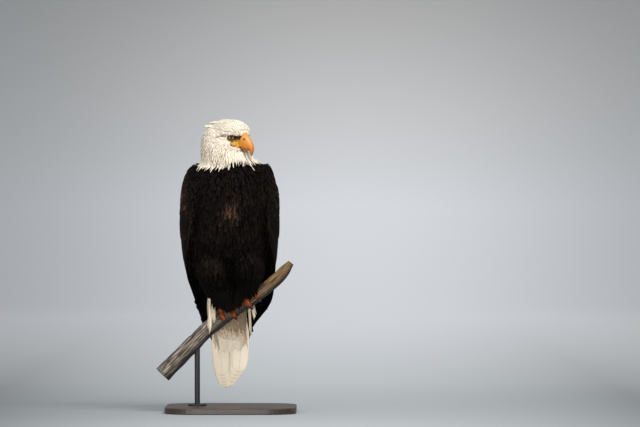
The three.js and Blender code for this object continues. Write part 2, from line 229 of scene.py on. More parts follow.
def vane_pattern(tree):
    """Share across, share along and tone of a feather, and its barbs: sines of the share along, slanting outwards.

    Fifteen stripes stand for some hundreds of barbs: real ones are too fine to show.
    """
    side, along, tone = numbers(tree, "vane")
    across = side.sum("ABSOLUTE")
    return across, along, tone, ((along - across * 0.35) * BARB_PHASE).sum("SINE")


def drifting(tone, scale, detail, depth):
    """A tone with a slow drift over the body, of a depth."""
    return (cloud(tone.tree, scale, detail) - 0.5) * depth + tone


def striped(base, barbs, depth, level):
    """A colour times level + depth x barbs."""
    stripe = barbs * depth + level
    grey = add(base.tree, "CombineColor", {0: stripe, 1: stripe, 2: stripe})
    return add(base.tree, "Mix", {0: 1.0, 6: base, 7: grey}, 2, data_type="RGBA", blend_type="MULTIPLY")


def dark_feather(tree):
    """Feather keratin full of pigment: matt, almost black, bleached brown at high tones and at its worn edge.

    The shaft is drawn wider and the worn edge broader than real, because both are too fine to show.
    """
    across, along, tone, barbs = vane_pattern(tree)
    base = drifting(tone, 22.0, 3.0, 0.35).coloured(
        (0.0, "#020202"), (0.3, "#050505"), (0.55, "#0f0c0b"), (0.8, "#33241b"), (1.0, "#5b4031")
    )
    edge = (across**3.0).sum("MAXIMUM", along**6.0)
    base = (edge * (tone * 0.5)).held().between(base, "#62493a")
    shaft = across.sum("LESS_THAN", 0.07)
    base = (shaft * 0.1).between(base, "#4b3527")
    return shader_inputs(striped(base, barbs, 0.12, 0.9), 0.62, barbs, 0.35, 0.0006)


def white_feather(tree):
    """Feather keratin without pigment: a soft warm white, tan at low tones and in painted shade, with a greyer downy
    root.

    The tan line along its shaft is drawn coarser than real. The tan line round its rim is painted shade where
    overlapping tips meet. Low is how much of them shows: all on the large feathers of the tail and nothing on the head.
    """
    across, along, tone, barbs = vane_pattern(tree)
    base = drifting(tone, 30.0, 2.0, 0.3).coloured(
        (0.0, "#8f7458"), (0.16, "#cdb799"), (0.34, "#ecdcc4"), (0.6, "#fbeeda"), (1.0, "#fff7e8")
    )
    down = (along * -0.3 + 0.3).held()
    base = down.between(base, "#ddd0bd")
    low = (object_place(tree).parts()[2] * -3.0 + 1.6).held()
    # Painted shade: a tan line round each vane's rim, where one feather's tip lies over another.
    rim = (across**14.0).sum("MAXIMUM", along**50.0)
    lines = rim.sum("MAXIMUM", across.sum("LESS_THAN", 0.05) * 0.44)
    base = (lines * low * 0.5).between(base, "#a48c6b")
    return shader_inputs(striped(base, barbs, 0.04, 0.97), 0.75, barbs, 0.1, 0.0003)


def skin_surface(tree):
    """Living skin: the coat's own colours under the feathers, scaly on the feet, bare and yellow at the lore.

    Its marking is how white the coat over it is, how scaly it is, less so in the painted shade between a toe's plates,
    and how bare and yellow it is, less so in the painted shade under the brow.
    """
    white, foot, lore = numbers(tree, "marking")
    fine = cloud(tree, 180.0, 4.0)
    scales = add(tree, "TexVoronoi", {"Vector": object_place(tree), "Scale": 420.0}, feature="DISTANCE_TO_EDGE")
    leg = cloud(tree, 70.0, 3.0).coloured((0.3, "#34190e"), (0.45, "#7a3a1c"), (0.6, "#b05626"), (0.78, "#9c6c48"))
    # Painted shade: the lines between the scales are darkened.
    crease_shade = (scales * 6.0).held() * -1.0 + 1.0
    leg = (crease_shade * 0.6).between(leg, "#23120b")
    streaky = (fine - 0.5) * 0.9 + lore
    bare = streaky.coloured((0.3, "#140b07"), (0.5, "#432a16"), (0.72, "#8f6a32"), (1.0, "#cf9f45"))
    base = white.between(fine.between("#0d0908", "#1f1612"), fine.between("#e2d5c0", "#f5ebdb"))
    base = (lore * 3.0).held().between(foot.between(base, leg), bare)
    return shader_inputs(base, 0.6, scales * foot + fine * 0.1, 0.5, 0.0012)


def bill_horn(tree):
    """Keratin, worn smooth in use: a satin orange, faintly clouded, with painted shade under it and in its nostril, and
    a darker tip.

    Its marking is the share from root to tip, and how dark the painted shade under the bill and in a nostril, or the
    darker tip, makes it.
    """
    share, shade, _ = numbers(tree, "marking")
    base = share.coloured(
        (0.0, "#d6962b"), (0.3, "#dd8d31"), (0.55, "#da7c26"), (0.8, "#bd7230"), (1.0, "#86643f")
    )
    lines = cloud(tree, 260.0, 3.0)
    base = shade.between((lines * 0.22).between(base, "#b0702a"), "#4a2712")
    return shader_inputs(base, lines * 0.2 + 0.3, lines, 0.18, 0.0006)


def eye_ball(tree):
    """A wet eye: a dark pupil in a pale straw iris with fine rays, and a dark ring where it meets the white.

    Its marking is the angle from the looking axis, divided by 1.6, and the turn about that axis.
    """
    out, turn, _ = numbers(tree, "marking")
    wavy = (turn * 60.0).sum("SINE") * 0.012 + out
    pupil = (0.0, "#080404"), (0.19, "#0c0605")
    iris = (0.215, "#8f7f66"), (0.28, "#c4b498"), (0.35, "#a08c6c")
    ring = (0.4, "#2c1f18"), (0.5, "#120b08")
    return {"Base Color": wavy.coloured(*pupil, *iris, *ring), "Roughness": 0.12}


def talon_horn(tree):
    """Keratin, polished by wear: almost black, with faint paler clouds."""
    streaks = cloud(tree, 240.0, 4.0)
    base = streaks.coloured((0.3, "#0b0909"), (0.6, "#1d1816"), (0.9, "#4b4039"))
    return shader_inputs(base, streaks * 0.25 + 0.15, streaks, 0.15, 0.0004)


def dead_wood(tree):
    """Barkless pine, dried and weathered: grey with brown grain, tanner towards its broken end, with painted shade in
    its cracks and on its underside.

    Its marking is the share along the branch, the share of the way round to its underside, and how much painted shade a
    crack or pit holds.
    """
    along, turn, crack_shade = numbers(tree, "marking")
    stretched = add(tree, "CombineXYZ", {0: along * 3.0, 1: turn * 5.5})
    grain = cloud(tree, 3.2, 8.0, stretched, Roughness=0.62)
    spots = cloud(tree, 36.0, 4.0)
    grey = grain.coloured((0.36, "#0c0907"), (0.45, "#342c25"), (0.54, "#6d6357"), (0.64, "#c3baab"))
    tan = grain.coloured((0.36, "#120a06"), (0.45, "#3f2b1a"), (0.54, "#775c37"), (0.67, "#b4955f"))
    base = (spots * 0.6 + (along * 2.2 - 1.2)).held().between(grey, tan)
    # Painted shade: cracks and pits are darkened.
    base = (crack_shade * 0.9).between(base, "#150e0a")
    # Painted shade: the branch's underside is darkened.
    underside_painted_shade = (turn * 4.0 - 2.4).held()
    base = (underside_painted_shade * 0.9).between(base, "#1b110b")
    return shader_inputs(base, 0.82, grain + spots * 0.3, 0.7, 0.0018)


def stained_wood(tree):
    """Close-grained beech, sanded, stained dark and oiled: long soft grain lines under a satin skin."""
    stretched = add(tree, "Mapping", {"Vector": object_place(tree), "Scale": (1.0, 9.0, 9.0)})
    grain = cloud(tree, 22.0, 6.0, stretched, Distortion=0.4)
    base = grain.coloured((0.3, "#1f1612"), (0.5, "#33261e"), (0.75, "#4a382b"))
    return shader_inputs(base, grain * 0.2 + 0.35, grain, 0.12, 0.0004)


def painted_steel(tree):
    """Turned steel, powder coated satin black: a fine even orange-peel."""
    peel = cloud(tree, 900.0, 2.0)
    return shader_inputs(peel.between("#161617", "#242425"), 0.42, peel, 0.08, 0.0003)


def studio_paper(tree):
    """Seamless matt paper that glows with painted light: a soft pool of it low on the back, dimmer higher up and
    around.

    The glow grows with the distance from the stand, as 1.05 x (1 - e to the minus 0.3 x reach), so the floor close by
    keeps its shadows. Painted shade: the paper's colour is darker to the sides of the stand, over the nearer part of
    the floor.
    """
    place = object_place(tree)
    x, y, z = place.parts()
    reach = add(tree, "VectorMath", {0: place}, "Value", operation="LENGTH")
    # Painted light: the paper glows, brightest in a pool low on the back wall.
    glow = (z * 0.2).held().coloured(
        (0.0, "#cdcfd2"), (0.11, "#d3d4d8"), (0.24, "#bab7b6"), (0.38, "#938d89"), (0.7, "#7a7573")
    )
    aside = (x - 0.45) * 0.6
    pool = (aside * aside * -1.0).sum("EXPONENT") * (y * 0.3 + 0.5).held()
    strength = ((reach * -0.3).sum("EXPONENT") * -1.05 + 1.05) * (pool * 0.53 + 0.2)
    # Painted shade: darker paper to either side of the stand.
    beside = (((x - 0.2) * 1.1) ** 2.0).held()
    close = (reach * -0.13 + 1.2).held()
    base = (beside * close * 0.8).between("#9ba1a3", "#4f5456")
    return {"Base Color": base, "Emission Color": glow, "Emission Strength": strength, "Roughness": 0.95}


DARK = finish("dark_contour_feather", dark_feather, Specular_IOR_Level=0.05)
WHITE = finish("white_contour_feather", white_feather, Specular_IOR_Level=0.25, Sheen_Weight=0.1)
SKIN = finish("living_skin", skin_surface, Specular_IOR_Level=0.15)
HORN = finish("bill_keratin", bill_horn, Coat_Weight=0.15, Coat_Roughness=0.3)
WET_EYE = finish("wet_eye", eye_ball, Coat_Weight=0.4, Coat_Roughness=0.02, Specular_IOR_Level=0.25)
TALON = finish("talon_keratin", talon_horn, Coat_Weight=0.4, Coat_Roughness=0.15)
WOOD = finish("weathered_pine", dead_wood)
BASE_WOOD = finish("stained_beech", stained_wood)
STEEL = finish("powder_coated_steel", painted_steel, Metallic=0.2)
PAPER = finish("studio_paper", studio_paper, Specular_IOR_Level=0.1)
COATS = {"dark": (DARK, "dark_feathers"), "white": (WHITE, "white_feathers")}


# ---- Meshes ---------------------------------------------------------------------------------------


def raw_mesh(name, points, faces, scale=1.0):
    """A mesh object from an array of points and an array of corner numbers."""
    mesh = bpy.data.meshes.new(name)
    mesh.vertices.add(len(points))
    mesh.vertices.foreach_set("co", (np.asarray(points) * scale).astype(np.float32).ravel())
    if len(faces):
        mesh.loops.add(faces.size)
        mesh.loops.foreach_set("vertex_index", faces.astype(np.int32).ravel())
        mesh.polygons.add(len(faces))
        mesh.polygons.foreach_set("loop_start", np.arange(0, faces.size, faces.shape[1], dtype=np.int32))
        mesh.update(calc_edges=True)
        mesh.shade_smooth()
    thing = bpy.data.objects.new(name, mesh)
    bpy.context.scene.collection.objects.link(thing)
    return thing


def piece(name, points, faces, material, slot, nodes, patch=None, **attributes):
    """A finished piece in metres, with three numbers a vertex for each attribute and its own patch map."""
    thing = raw_mesh(name, points, faces, MM)
    mesh = thing.data
    for key, values in attributes.items():
        attribute = mesh.attributes.new(key, "FLOAT_VECTOR", "POINT")
        attribute.data.foreach_set("vector", np.asarray(values, np.float32).ravel())
    if patch is not None:
        layer = mesh.uv_layers.new(name="OFBake")
        layer.data.foreach_set("uv", patch[faces.ravel()].astype(np.float32).ravel())
    mesh.materials.append(material)
    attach(thing, "root")
    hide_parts(*nodes)


def coat_piece(name, feathers, coat, nodes, fade=1.0):
    """A piece of feathers from vanes(), whose vane numbers are each point's share across, share along and tone."""
    points, faces, vane, patch = feathers
    material, slot = COATS[coat]
    piece(name, points, faces, material, slot, nodes, patch, vane=vane * [1, 1, fade])


def outward(points, faces):
    """Faces turned outwards: their order is reversed where the volume they enclose comes out negative."""
    a, b, c = (points[faces[:, i]] for i in range(3))
    return faces if (a * np.cross(b, c)).sum() > 0 else faces[:, ::-1]


def ring_corners(rings, around):
    """The number of each point in rings of points, and of the point after it round its ring."""
    ring, step = (part.ravel() for part in np.meshgrid(np.arange(rings), np.arange(around), indexing="ij"))
    return ring * around + step, ring * around + (step + 1) % around


def closed_faces(rings, around):
    """Triangles of a closed form: a first point, rings of points, and a last point, numbered in that order."""
    a, b = (1 + corner for corner in ring_corners(rings - 1, around))
    sides = np.concatenate([np.stack([a, b, b + around], 1), np.stack([a, b + around, a + around], 1)])
    edge = np.arange(around)
    after = (edge + 1) % around
    start = np.stack([np.zeros_like(edge), 1 + after, 1 + edge], 1)
    base = 1 + (rings - 1) * around
    end = np.stack([np.full_like(edge, 1 + rings * around), base + edge, base + after], 1)
    return np.concatenate([start, sides, end])


def closed_form(grid):
    """Points and faces of a grid [ring, around, 3], closed by the middle of its first and last rings."""
    rings, around, _ = grid.shape
    points = np.concatenate([grid[:1].mean(1), grid.reshape(-1, 3), grid[-1:].mean(1)])
    return points, outward(points, closed_faces(rings, around))


def capped(values):
    """Per-point values of a closed form's grid, with those of its first and last points."""
    return np.concatenate([values[:1].mean(1), values.reshape(-1, values.shape[-1]), values[-1:].mean(1)])


def joined(*forms):
    """Several (points, faces, ...) forms as one."""
    starts = np.cumsum([0] + [len(form[0]) for form in forms[:-1]])
    faces = np.concatenate([form[1] + start for form, start in zip(forms, starts)])
    return (np.concatenate([form[0] for form in forms]), faces) + tuple(
        np.concatenate(parts) for parts in zip(*(form[2:] for form in forms))
    )


def tube(path, radius, around):
    """Rings about a path [n, 3] of radius [n] or [n, around], from the way square to the path and y, or else to x."""
    along = unit(np.gradient(path, axis=0))
    sideways = np.cross([0.0, 1.0, 0.0], along)
    sideways = unit(np.where((sideways**2).sum(-1, keepdims=True) < 0.05, np.cross([1.0, 0, 0], along), sideways))
    across = np.cross(along, sideways)
    turn = circle(around)
    radius = np.asarray(radius, float).reshape(len(path), -1, 1)
    ring = sideways[:, None] * np.cos(turn)[:, None] + across[:, None] * np.sin(turn)[:, None]
    return path[:, None] + ring * radius


def evaluated(thing):
    """The points and triangles of an object after its modifiers."""
    graph = bpy.context.evaluated_depsgraph_get()
    holder = thing.evaluated_get(graph)
    mesh = holder.to_mesh()
    points = np.empty(len(mesh.vertices) * 3, np.float32)
    mesh.vertices.foreach_get("co", points)
    mesh.calc_loop_triangles()
    faces = np.empty(len(mesh.loop_triangles) * 3, np.int32)
    mesh.loop_triangles.foreach_get("vertices", faces)
    holder.to_mesh_clear()
    return points.reshape(-1, 3).astype(float), faces.reshape(-1, 3)


def node_surface(name):
    """A CAD node's points in millimetres and its triangles, with repeated points merged."""
    points, faces = evaluated(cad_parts[name])
    merged, where = np.unique((points / MM).round(2), axis=0, return_inverse=True)
    return merged, where.reshape(-1)[faces]


# ---- The body's form ------------------------------------------------------------------------------


def lay_on(target, points):
    """The nearest point of a target's surface to each point, and the way out of the surface there."""
    probe = raw_mesh("probe", points.reshape(-1, 3), np.empty((0, 3), int))
    wrap = probe.modifiers.new("wrap", "SHRINKWRAP")
    wrap.target, wrap.wrap_method, wrap.wrap_mode = target, "NEAREST_SURFACEPOINT", "ON_SURFACE"
    on = evaluated(probe)[0]
    wrap.wrap_mode, wrap.offset = "ABOVE_SURFACE", 1.0
    above = evaluated(probe)[0]
    bpy.data.objects.remove(probe)
    return on.reshape(points.shape), unit(above - on).reshape(points.shape)


HEAD_MIDDLE = np.array([-3.0, -4.0, 712.0])
HEAD_TURN, HEAD_NOD = np.radians([52.0, 4.0])


def head_place(side, forward, up):
    """A point in the head's own frame, nodded and turned into place."""
    x, y, z = np.broadcast_arrays(side, -np.asarray(forward, float), up)
    y, z = y * np.cos(HEAD_NOD) - z * np.sin(HEAD_NOD), y * np.sin(HEAD_NOD) + z * np.cos(HEAD_NOD)
    turned = [x * np.cos(HEAD_TURN) - y * np.sin(HEAD_TURN), x * np.sin(HEAD_TURN) + y * np.cos(HEAD_TURN), z]
    return HEAD_MIDDLE + np.stack(turned, -1)


def in_head(points):
    """Side, forward and up of points in the head's own frame."""
    x, y, z = np.moveaxis(points - HEAD_MIDDLE, -1, 0)
    x, y = x * np.cos(HEAD_TURN) + y * np.sin(HEAD_TURN), -x * np.sin(HEAD_TURN) + y * np.cos(HEAD_TURN)
    return x, -(y * np.cos(HEAD_NOD) + z * np.sin(HEAD_NOD)), z * np.cos(HEAD_NOD) - y * np.sin(HEAD_NOD)


def neighbour_mean(points, faces, rounds):
    """Points moved to the mean of their neighbours, a number of rounds."""
    edges = np.concatenate([faces[:, [0, 1]], faces[:, [1, 2]], faces[:, [2, 0]]])
    start, end = np.concatenate([edges, edges[:, ::-1]]).T
    count = np.bincount(start, minlength=len(points))[:, None]
    for _ in range(rounds):
        sums = np.stack([np.bincount(start, points[end, axis], len(points)) for axis in range(3)], 1)
        points = mix(points, sums / np.maximum(count, 1), 0.5)
    return points


VOXEL = 3.2
SMOOTHING_ROUNDS = 3

# One closed form of all the flesh, which the skin and the feathers follow.
flesh_surfaces = {name: node_surface(name) for name in FLESH}
whole = raw_mesh("whole", *joined(*flesh_surfaces.values()))
remesh = whole.modifiers.new("remesh", "REMESH")
remesh.mode, remesh.voxel_size = "VOXEL", VOXEL
form_points, form_faces = evaluated(whole)
bpy.data.objects.remove(whole)
form_points = neighbour_mean(form_points, form_faces, SMOOTHING_ROUNDS)

# The node that each point of the form belongs to is the one whose surface lies nearest.
gaps = []
for name, surface in flesh_surfaces.items():
    target = raw_mesh(name + "_target", *surface)
    gaps.append(np.linalg.norm(lay_on(target, form_points)[0] - form_points, axis=1))
    bpy.data.objects.remove(target)
owner = np.argmin(gaps, axis=0)


def owned_by(*names):
    """Which of the form's points belong to the named nodes."""
    return np.isin(owner, [FLESH.index(name) for name in names])


BROW_RISE = 5.2

# The brow: a bony shelf over each eye, from the lore to behind the eye.
side, forward, up = in_head(form_points)
shelf_share = np.clip((40 - forward) / 34, 0, 1)
shelf_up = mix(7.0, 10.0, shelf_share)
shelf_side = mix(17.0, 33.0, shelf_share)
shelf = np.exp(-(((up - shelf_up) / 4.6) ** 2) - ((np.abs(side) - shelf_side) / 12) ** 2)
shelf *= ramp(forward, 2, 12) * (1 - ramp(forward, 40, 50)) * (form_points[:, 2] > 690)
brow_ways = [head_place(sign, 0.35, 0.0) - HEAD_MIDDLE for sign in (1.0, -1.0)]
form_points += BROW_RISE * shelf[:, None] * np.where(side[:, None] > 0, *brow_ways)
# The feathers over the shoulder blade raise the left shoulder by the neck. Its corner and the neck's right side are
# drawn in.
form_points[:, 2] += 8 * bump(form_points, (89, 0, 634), (12, 70, 18))
form_points[:, 0] -= 7 * bump(form_points, (124, 0, 612), (26, 150, 34))
form_points[:, 0] += 4 * bump(form_points, (-86, 0, 676), (18, 70, 40))
form = raw_mesh("form", form_points, form_faces)
form_out = lay_on(form, form_points)[1]
form_z = form_points[:, 2]


# ---- Where the markings lie -----------------------------------------------------------------------

hackle_edge = profile(
    (-110, 676), (-92, 652), (-78, 632), (-47, 627), (-32, 622), (-16, 633), (0, 640), (16, 650), (34, 645),
    (49, 642), (71, 638), (110, 640),
)  # fmt: skip
NAPE_EDGE = 640.0


def white_limit(points):
    """The height where the white of the neck ends: the ragged edge on the breast, and a level one behind."""
    return mix(hackle_edge(points[..., 0]), NAPE_EDGE, ramp(points[..., 1], 0, 40))


def patch_place(points):
    """A point's place in the bake map, each share from 0 to 1: its angle about the body's axis, and its height.

    The axis stands at y 0 in the body and leans back to y 140 at the tail's tip.
    """
    axis = np.interp(points[..., 2], [60, 320, 400], [140, 84, 0])
    angle = np.arctan2(points[..., 0] + 4, axis - points[..., 1]) / (2 * np.pi) + 0.5
    return np.stack([angle * 0.98 + 0.01, (points[..., 2] - 40) / 740], -1)


def gape_line(sign, count):
    """Points along the corner of the mouth: from under the bill's root back along the cheek to below the eye."""
    s = np.linspace(0, 1, count)
    return head_place(
        sign * profile((0, 12), (0.4, 18), (0.75, 25), (1, 29))(s),
        profile((0, 44), (0.4, 34), (0.75, 24), (1, 17))(s),
        profile((0, -19), (0.4, -19), (0.75, -18.5), (1, -17))(s),
    )


def lie(points):
    """The coat's lie: down the body and a little back, fanning out at the collar, and from the bill over the head."""
    x = points[..., :1]
    collar = bump(points[..., 2:], 640, 30)[..., None] * x * (1 - ramp(np.abs(x), 60, 95)) * [0.0028, 0, 0]
    down = np.array([0.0, 0.1, -1.0]) + collar
    _, forward, _ = in_head(points)
    from_bill = unit(points - head_place(0, 46, -6))
    over = from_bill + down * ramp(40 - forward, 5, 85)[..., None] * 1.1
    return mix(down, over, ramp(points[..., 2], 662, 704)[..., None])


# ---- Feathers -------------------------------------------------------------------------------------

SHARPEST_BEND = 0.72  # the cosine of the sharpest bend that a feather follows in one step
FURTHEST_DROP = 6.0  # the furthest that the form may fall away under that step


def march(roots, length, shares, turn):
    """Lines that start at roots and follow the lie over the form, each turned a little from it.

    Where the form bends or falls away too sharply, the feather goes straight on and stands free.
    """
    on, out = lay_on(form, roots)
    line, outs = [on], [out]
    for step in np.diff(shares):
        way = lie(on)
        way = unit(way - out * (way * out).sum(-1, keepdims=True))
        way = way * np.cos(turn)[:, None] + np.cross(out, way) * np.sin(turn)[:, None]
        ahead = on + way * (length * step)[:, None]
        next_on, next_out = lay_on(form, ahead)
        bent = (next_out * out).sum(-1) < SHARPEST_BEND
        free = bent | (np.linalg.norm(next_on - ahead, axis=1) > FURTHEST_DROP)
        on = np.where(free[:, None], ahead, next_on)
        out = np.where(free[:, None], out, next_out)
        line.append(on)
        outs.append(out)
    return np.stack(line, 1), np.stack(outs, 1)


PATCH_SIZE = 0.003  # of the bake map, for each feather


def vanes(line, out, half, height, tone, shares, across, camber, thick, roll=0.0):
    """Closed feathers about their centre lines [n, rows, 3]: points, faces, vane numbers and bake patches.

    At each inner row the upper side is half width x (camber x (0.3 - s²) + roll x s) above the line at a share s
    across, and the underside lies thick x (1 - s²) below it. The first and last rows are points.
    """
    along = unit(np.gradient(line, axis=1))
    side = unit(np.cross(along, out))
    s = np.concatenate([across, across[-2:0:-1]])  # round a row: over the upper side, and back under it
    over = np.arange(len(s)) < len(across)
    arch = camber * (0.3 - s**2)
    inner = slice(1, -1)
    width = half[:, inner, None]
    rise = height[:, inner, None] + width * (arch + roll * s) - thick * (1 - over) * (1 - s**2)
    rings = line[:, inner, None] + side[:, inner, None] * (width * s)[..., None] + out[:, inner, None] * rise[..., None]
    first = line[:, :1] + out[:, :1] * height[:, :1, None]
    last = line[:, -1:] + out[:, -1:] * height[:, -1:, None]
    count, rows, around = rings.shape[:3]
    points = np.concatenate([first, rings.reshape(count, -1, 3), last], 1)
    faces = (closed_faces(rows, around) + np.arange(count)[:, None, None] * points.shape[1]).reshape(-1, 3)
    place = stacked(s, shares[inner, None]).reshape(-1, 2)
    place = np.concatenate([[[0.0, shares[0]]], place, [[0.0, shares[-1]]]])
    vane = stacked(place[:, 0], place[:, 1], tone[:, None])
    patch = patch_place(line[:, 0])[:, None] + PATCH_SIZE * (place * [0.5, 1.0] - [0.0, 0.5])
    points = points.reshape(-1, 3)
    return points, outward(points, faces), vane.reshape(-1, 3), patch.reshape(-1, 2)


def rounded(t, sharp, square=2.6):
    """Half width of a vane along its length: filling out from the root, then round-ended, or tapering if sharp."""
    end = np.sqrt(np.clip(1 - np.clip((t - 0.45) / 0.55, 0, 1) ** square, 0, 1))
    blunt = end * (0.25 + 0.75 * np.clip(t / 0.5, 0, 1) ** 0.7)
    lance = np.clip(t / 0.3, 0.12, 1) ** 0.5 * np.clip((1 - t) / 0.75, 0, 1) ** 0.8
    return mix(blunt, lance, sharp)


corner, right, left = (form_points[form_faces[:, i]] for i in range(3))
face_areas = 0.5 * np.linalg.norm(np.cross(right - corner, left - corner), axis=1)
THROWS = 4  # random points for each spacing x spacing of skin


def scatter(spacing, keep):
    """Roots spread over the kept part of the form: random points by area, thinned to one in each cell."""
    wanted = np.flatnonzero(keep[form_faces].all(1))
    areas = face_areas[wanted]
    count = int(areas.sum() / spacing**2 * THROWS)
    chosen = wanted[RNG.choice(len(wanted), count, p=areas / areas.sum())]
    u, v = RNG.random((2, count, 1))
    u, v = np.where(u + v > 1, 1 - u, u), np.where(u + v > 1, 1 - v, v)
    a, b, c = (form_points[form_faces[chosen, i]] for i in range(3))
    points = a + (b - a) * u + (c - a) * v
    cells = np.floor(points / spacing + RNG.random(3)).astype(int)
    first = np.unique(cells, axis=0, return_index=True)[1]
    return points[np.sort(first)]


SHARES = np.array([0.0, 0.12, 0.34, 0.56, 0.76, 0.92, 1.0])
ACROSS = np.array([-1.0, 0.0, 1.0])
FLAT_ACROSS = np.array([-1.0, -0.9, 0.0, 0.9, 1.0])
THICKEST = 0.5
WIDTH_TO_THICKNESS = 20


def tract(
    name, roots, length, width, coat, nodes, tone,
    sink=3.0, rise=0.6, sharp=0.0, yaw=7.0, mottle=0.13, free=None, across=ACROSS, camber=0.28,
):  # fmt: skip
    """One tract of contour feathers, from sink below the form at their roots to rise over it at their tips.

    Yaw is how many degrees they stray from the lie, and mottle is how far their tones stray. With free given, a
    feather whose tip would stand further than that from the form is left out.
    """
    count = len(roots)
    length = np.broadcast_to(length, count) * RNG.uniform(0.85, 1.15, count)
    width = np.broadcast_to(width, count) * RNG.uniform(0.85, 1.15, count)
    line, out = march(roots, length, SHARES, np.radians(RNG.normal(0, yaw, count)))
    if free is not None:
        held = np.linalg.norm(lay_on(form, line[:, -2:])[0] - line[:, -2:], axis=2).max(1) < free
        line, out, width, tone, count = line[held], out[held], width[held], tone[held], held.sum()
    half = width[:, None] / 2 * rounded(SHARES, sharp) * (1 + 0.12 * RNG.normal(0, 1, (count, len(SHARES))))
    rise = np.broadcast_to(rise, count) * RNG.uniform(0.5, 1.5, count)
    height = -sink + (sink + rise[:, None]) * SHARES**0.8
    tone = np.clip(tone + RNG.normal(0, mottle, count), 0, 1)
    thick = np.minimum(THICKEST, width / WIDTH_TO_THICKNESS)[:, None, None]
    coat_piece(name, vanes(line, out, half, height, tone, SHARES, across, camber, thick), coat, nodes)


skull_side, skull_forward, skull_up = in_head(form_points)
from_eye = np.minimum(*(np.linalg.norm(form_points - head_place(s * 29, 28, 2), axis=1) for s in (-1, 1)))
# The lore is bare from the eye's corner and the mouth's corner to the bill; under the bill's root nothing grows.
lore_edge = skull_forward - np.interp(skull_up, [-18, -14, -6, 0, 3, 6], [35, 32, 35, 37, 29, 24])
in_lore = owned_by("head") & (np.abs(skull_side) > 9) & (skull_up > -8.8 - 0.3 * skull_forward)
bare_lore = in_lore & (lore_edge > 0) & (skull_up < 5.5)
under_bill = (skull_forward > 38) & (np.abs(skull_side) < 17) & (skull_up > -24) & (skull_up < 21)
from_gape = np.min([np.linalg.norm(form_points - spot, axis=1) for s in (-1, 1) for spot in gape_line(s, 12)], axis=0)
bare = bare_lore | under_bill | (from_gape < 5.5)
over_edge = form_z - white_limit(form_points)
fronted = owned_by("head", "neck", "trunk")


def face_tone_and_shade(points):
    """How white a head feather is, with painted shade: darker in a line behind the eye under the brow, on the brow, on
    the cheek and the neck below it, and under the mouth's corner.
    """
    _, forward, up = in_head(points)
    line = np.exp(-(((up - 5.2 - 0.03 * forward) / 2.6) ** 2)) * ramp(forward, -16, 2)
    brow = np.exp(-(((up - 14) / 5) ** 2)) * ramp(forward, -12, 12)
    cheek = np.exp(-(((up + 17) / 6) ** 2) - ((forward + 8) / 16) ** 2) + bump(points, (-45, -50, 676), (12, 60, 12))
    mouth = np.exp(-(((up + 24) / 3) ** 2)) * ramp(forward, 12, 22)
    # Painted shade: the line, brow, cheek and mouth terms darken the feathers where the brow, cheek and gape would cast
    # shade.
    return 0.64 + 0.09 * noise(points, 14) - 0.66 * line - 0.12 * brow - 0.32 * cheek - 0.35 * mouth


# Head: the finest feathers, short about the face and longer towards the nape.
over_eye = (from_eye > 12.5) | ((from_eye > 7.5) & (skull_up > 7.0))
roots = scatter(2.8, owned_by("head") & over_eye & ~bare)
back = ramp(45 - in_head(roots)[1], 0, 85)
tract(
    "head_feathers", roots, mix(6.8, 22.5, back), mix(3.4, 6.0, back), "white", ["head"], face_tone_and_shade(roots),
    sink=0.9, rise=mix(0.1, 0.7, back), sharp=0.35, yaw=6, mottle=0.05, camber=0.1,
)  # fmt: skip

# Nape: looser tufts that stand off the back of the head.
roots = scatter(5.2, owned_by("head", "neck") & (skull_forward < -14) & (skull_up > -34) & (skull_up < 26))
tract(
    "nape_tufts", roots, 21.0, 5.6, "white", ["head"], face_tone_and_shade(roots), sink=1.6,
    rise=2.0, sharp=0.8, yaw=10, mottle=0.06, camber=0.14,
)  # fmt: skip

# Neck: long pointed hackles, and under their last row two rows that end in the ragged edge over the dark breast.
roots = scatter(4.4, fronted & (over_edge > 36) & (form_z < 705) & ~bare)
reach = np.clip(roots[:, 2] - white_limit(roots) - 8, 24, 36)
tract(
    "neck_hackles", roots, reach, 7.4, "white", ["neck"], face_tone_and_shade(roots), sink=2.0,
    rise=1.4, sharp=0.85, yaw=8, mottle=0.07, free=3.0, camber=0.16,
)  # fmt: skip
roots = scatter(5.6, fronted & (over_edge > 24) & (over_edge < 34))
steep = np.sqrt(1 - np.minimum(lay_on(form, roots)[1][:, 2] ** 2, 0.7))
tract(
    "collar_hackles", roots, (roots[:, 2] - white_limit(roots) + 2) / steep, 8.6, "white", ["neck"],
    0.6 + 0.1 * noise(roots, 22), sink=1.2, rise=2.6, sharp=1.0, yaw=6, mottle=0.08, free=4.0,
)  # fmt: skip
roots = scatter(11.0, fronted & (over_edge > 18) & (over_edge < 30))
tract(
    "collar_points", roots, roots[:, 2] - white_limit(roots) + 12, 6.0, "white", ["neck"],
    np.full(len(roots), 0.7), sink=1.0, rise=3.4, sharp=1.0, yaw=9, mottle=0.05, free=4.0,
)  # fmt: skip


def body_tone(points):
    """How light and brown a dark feather is: low on the breast, higher in a few worn patches and on the wings, and
    lowered over the belly and thighs as painted shade.
    """
    worn = bump(points, (4, -105, 546), (22, 60, 32)) + 0.42 * bump(points, (-44, -90, 396), (24, 60, 24))
    worn += 0.7 * bump(points, (80, -60, 362), (12, 70, 24))
    outer = 0.56 * ramp(-4 - points[:, 0], 84, 120) + 0.28 * ramp(points[:, 0] + 4, 92, 124)
    # Painted shade: the body below the breast is darkened, as if in its own shadow.
    low = 0.24 * ramp(420 - points[:, 2], 0, 80)
    bleached = 0.25 + 0.75 * np.random.default_rng(3).random(len(points))
    return 0.15 + 0.12 * noise(points, 45) + 0.1 * noise(points, 16) + worn * bleached + outer - low


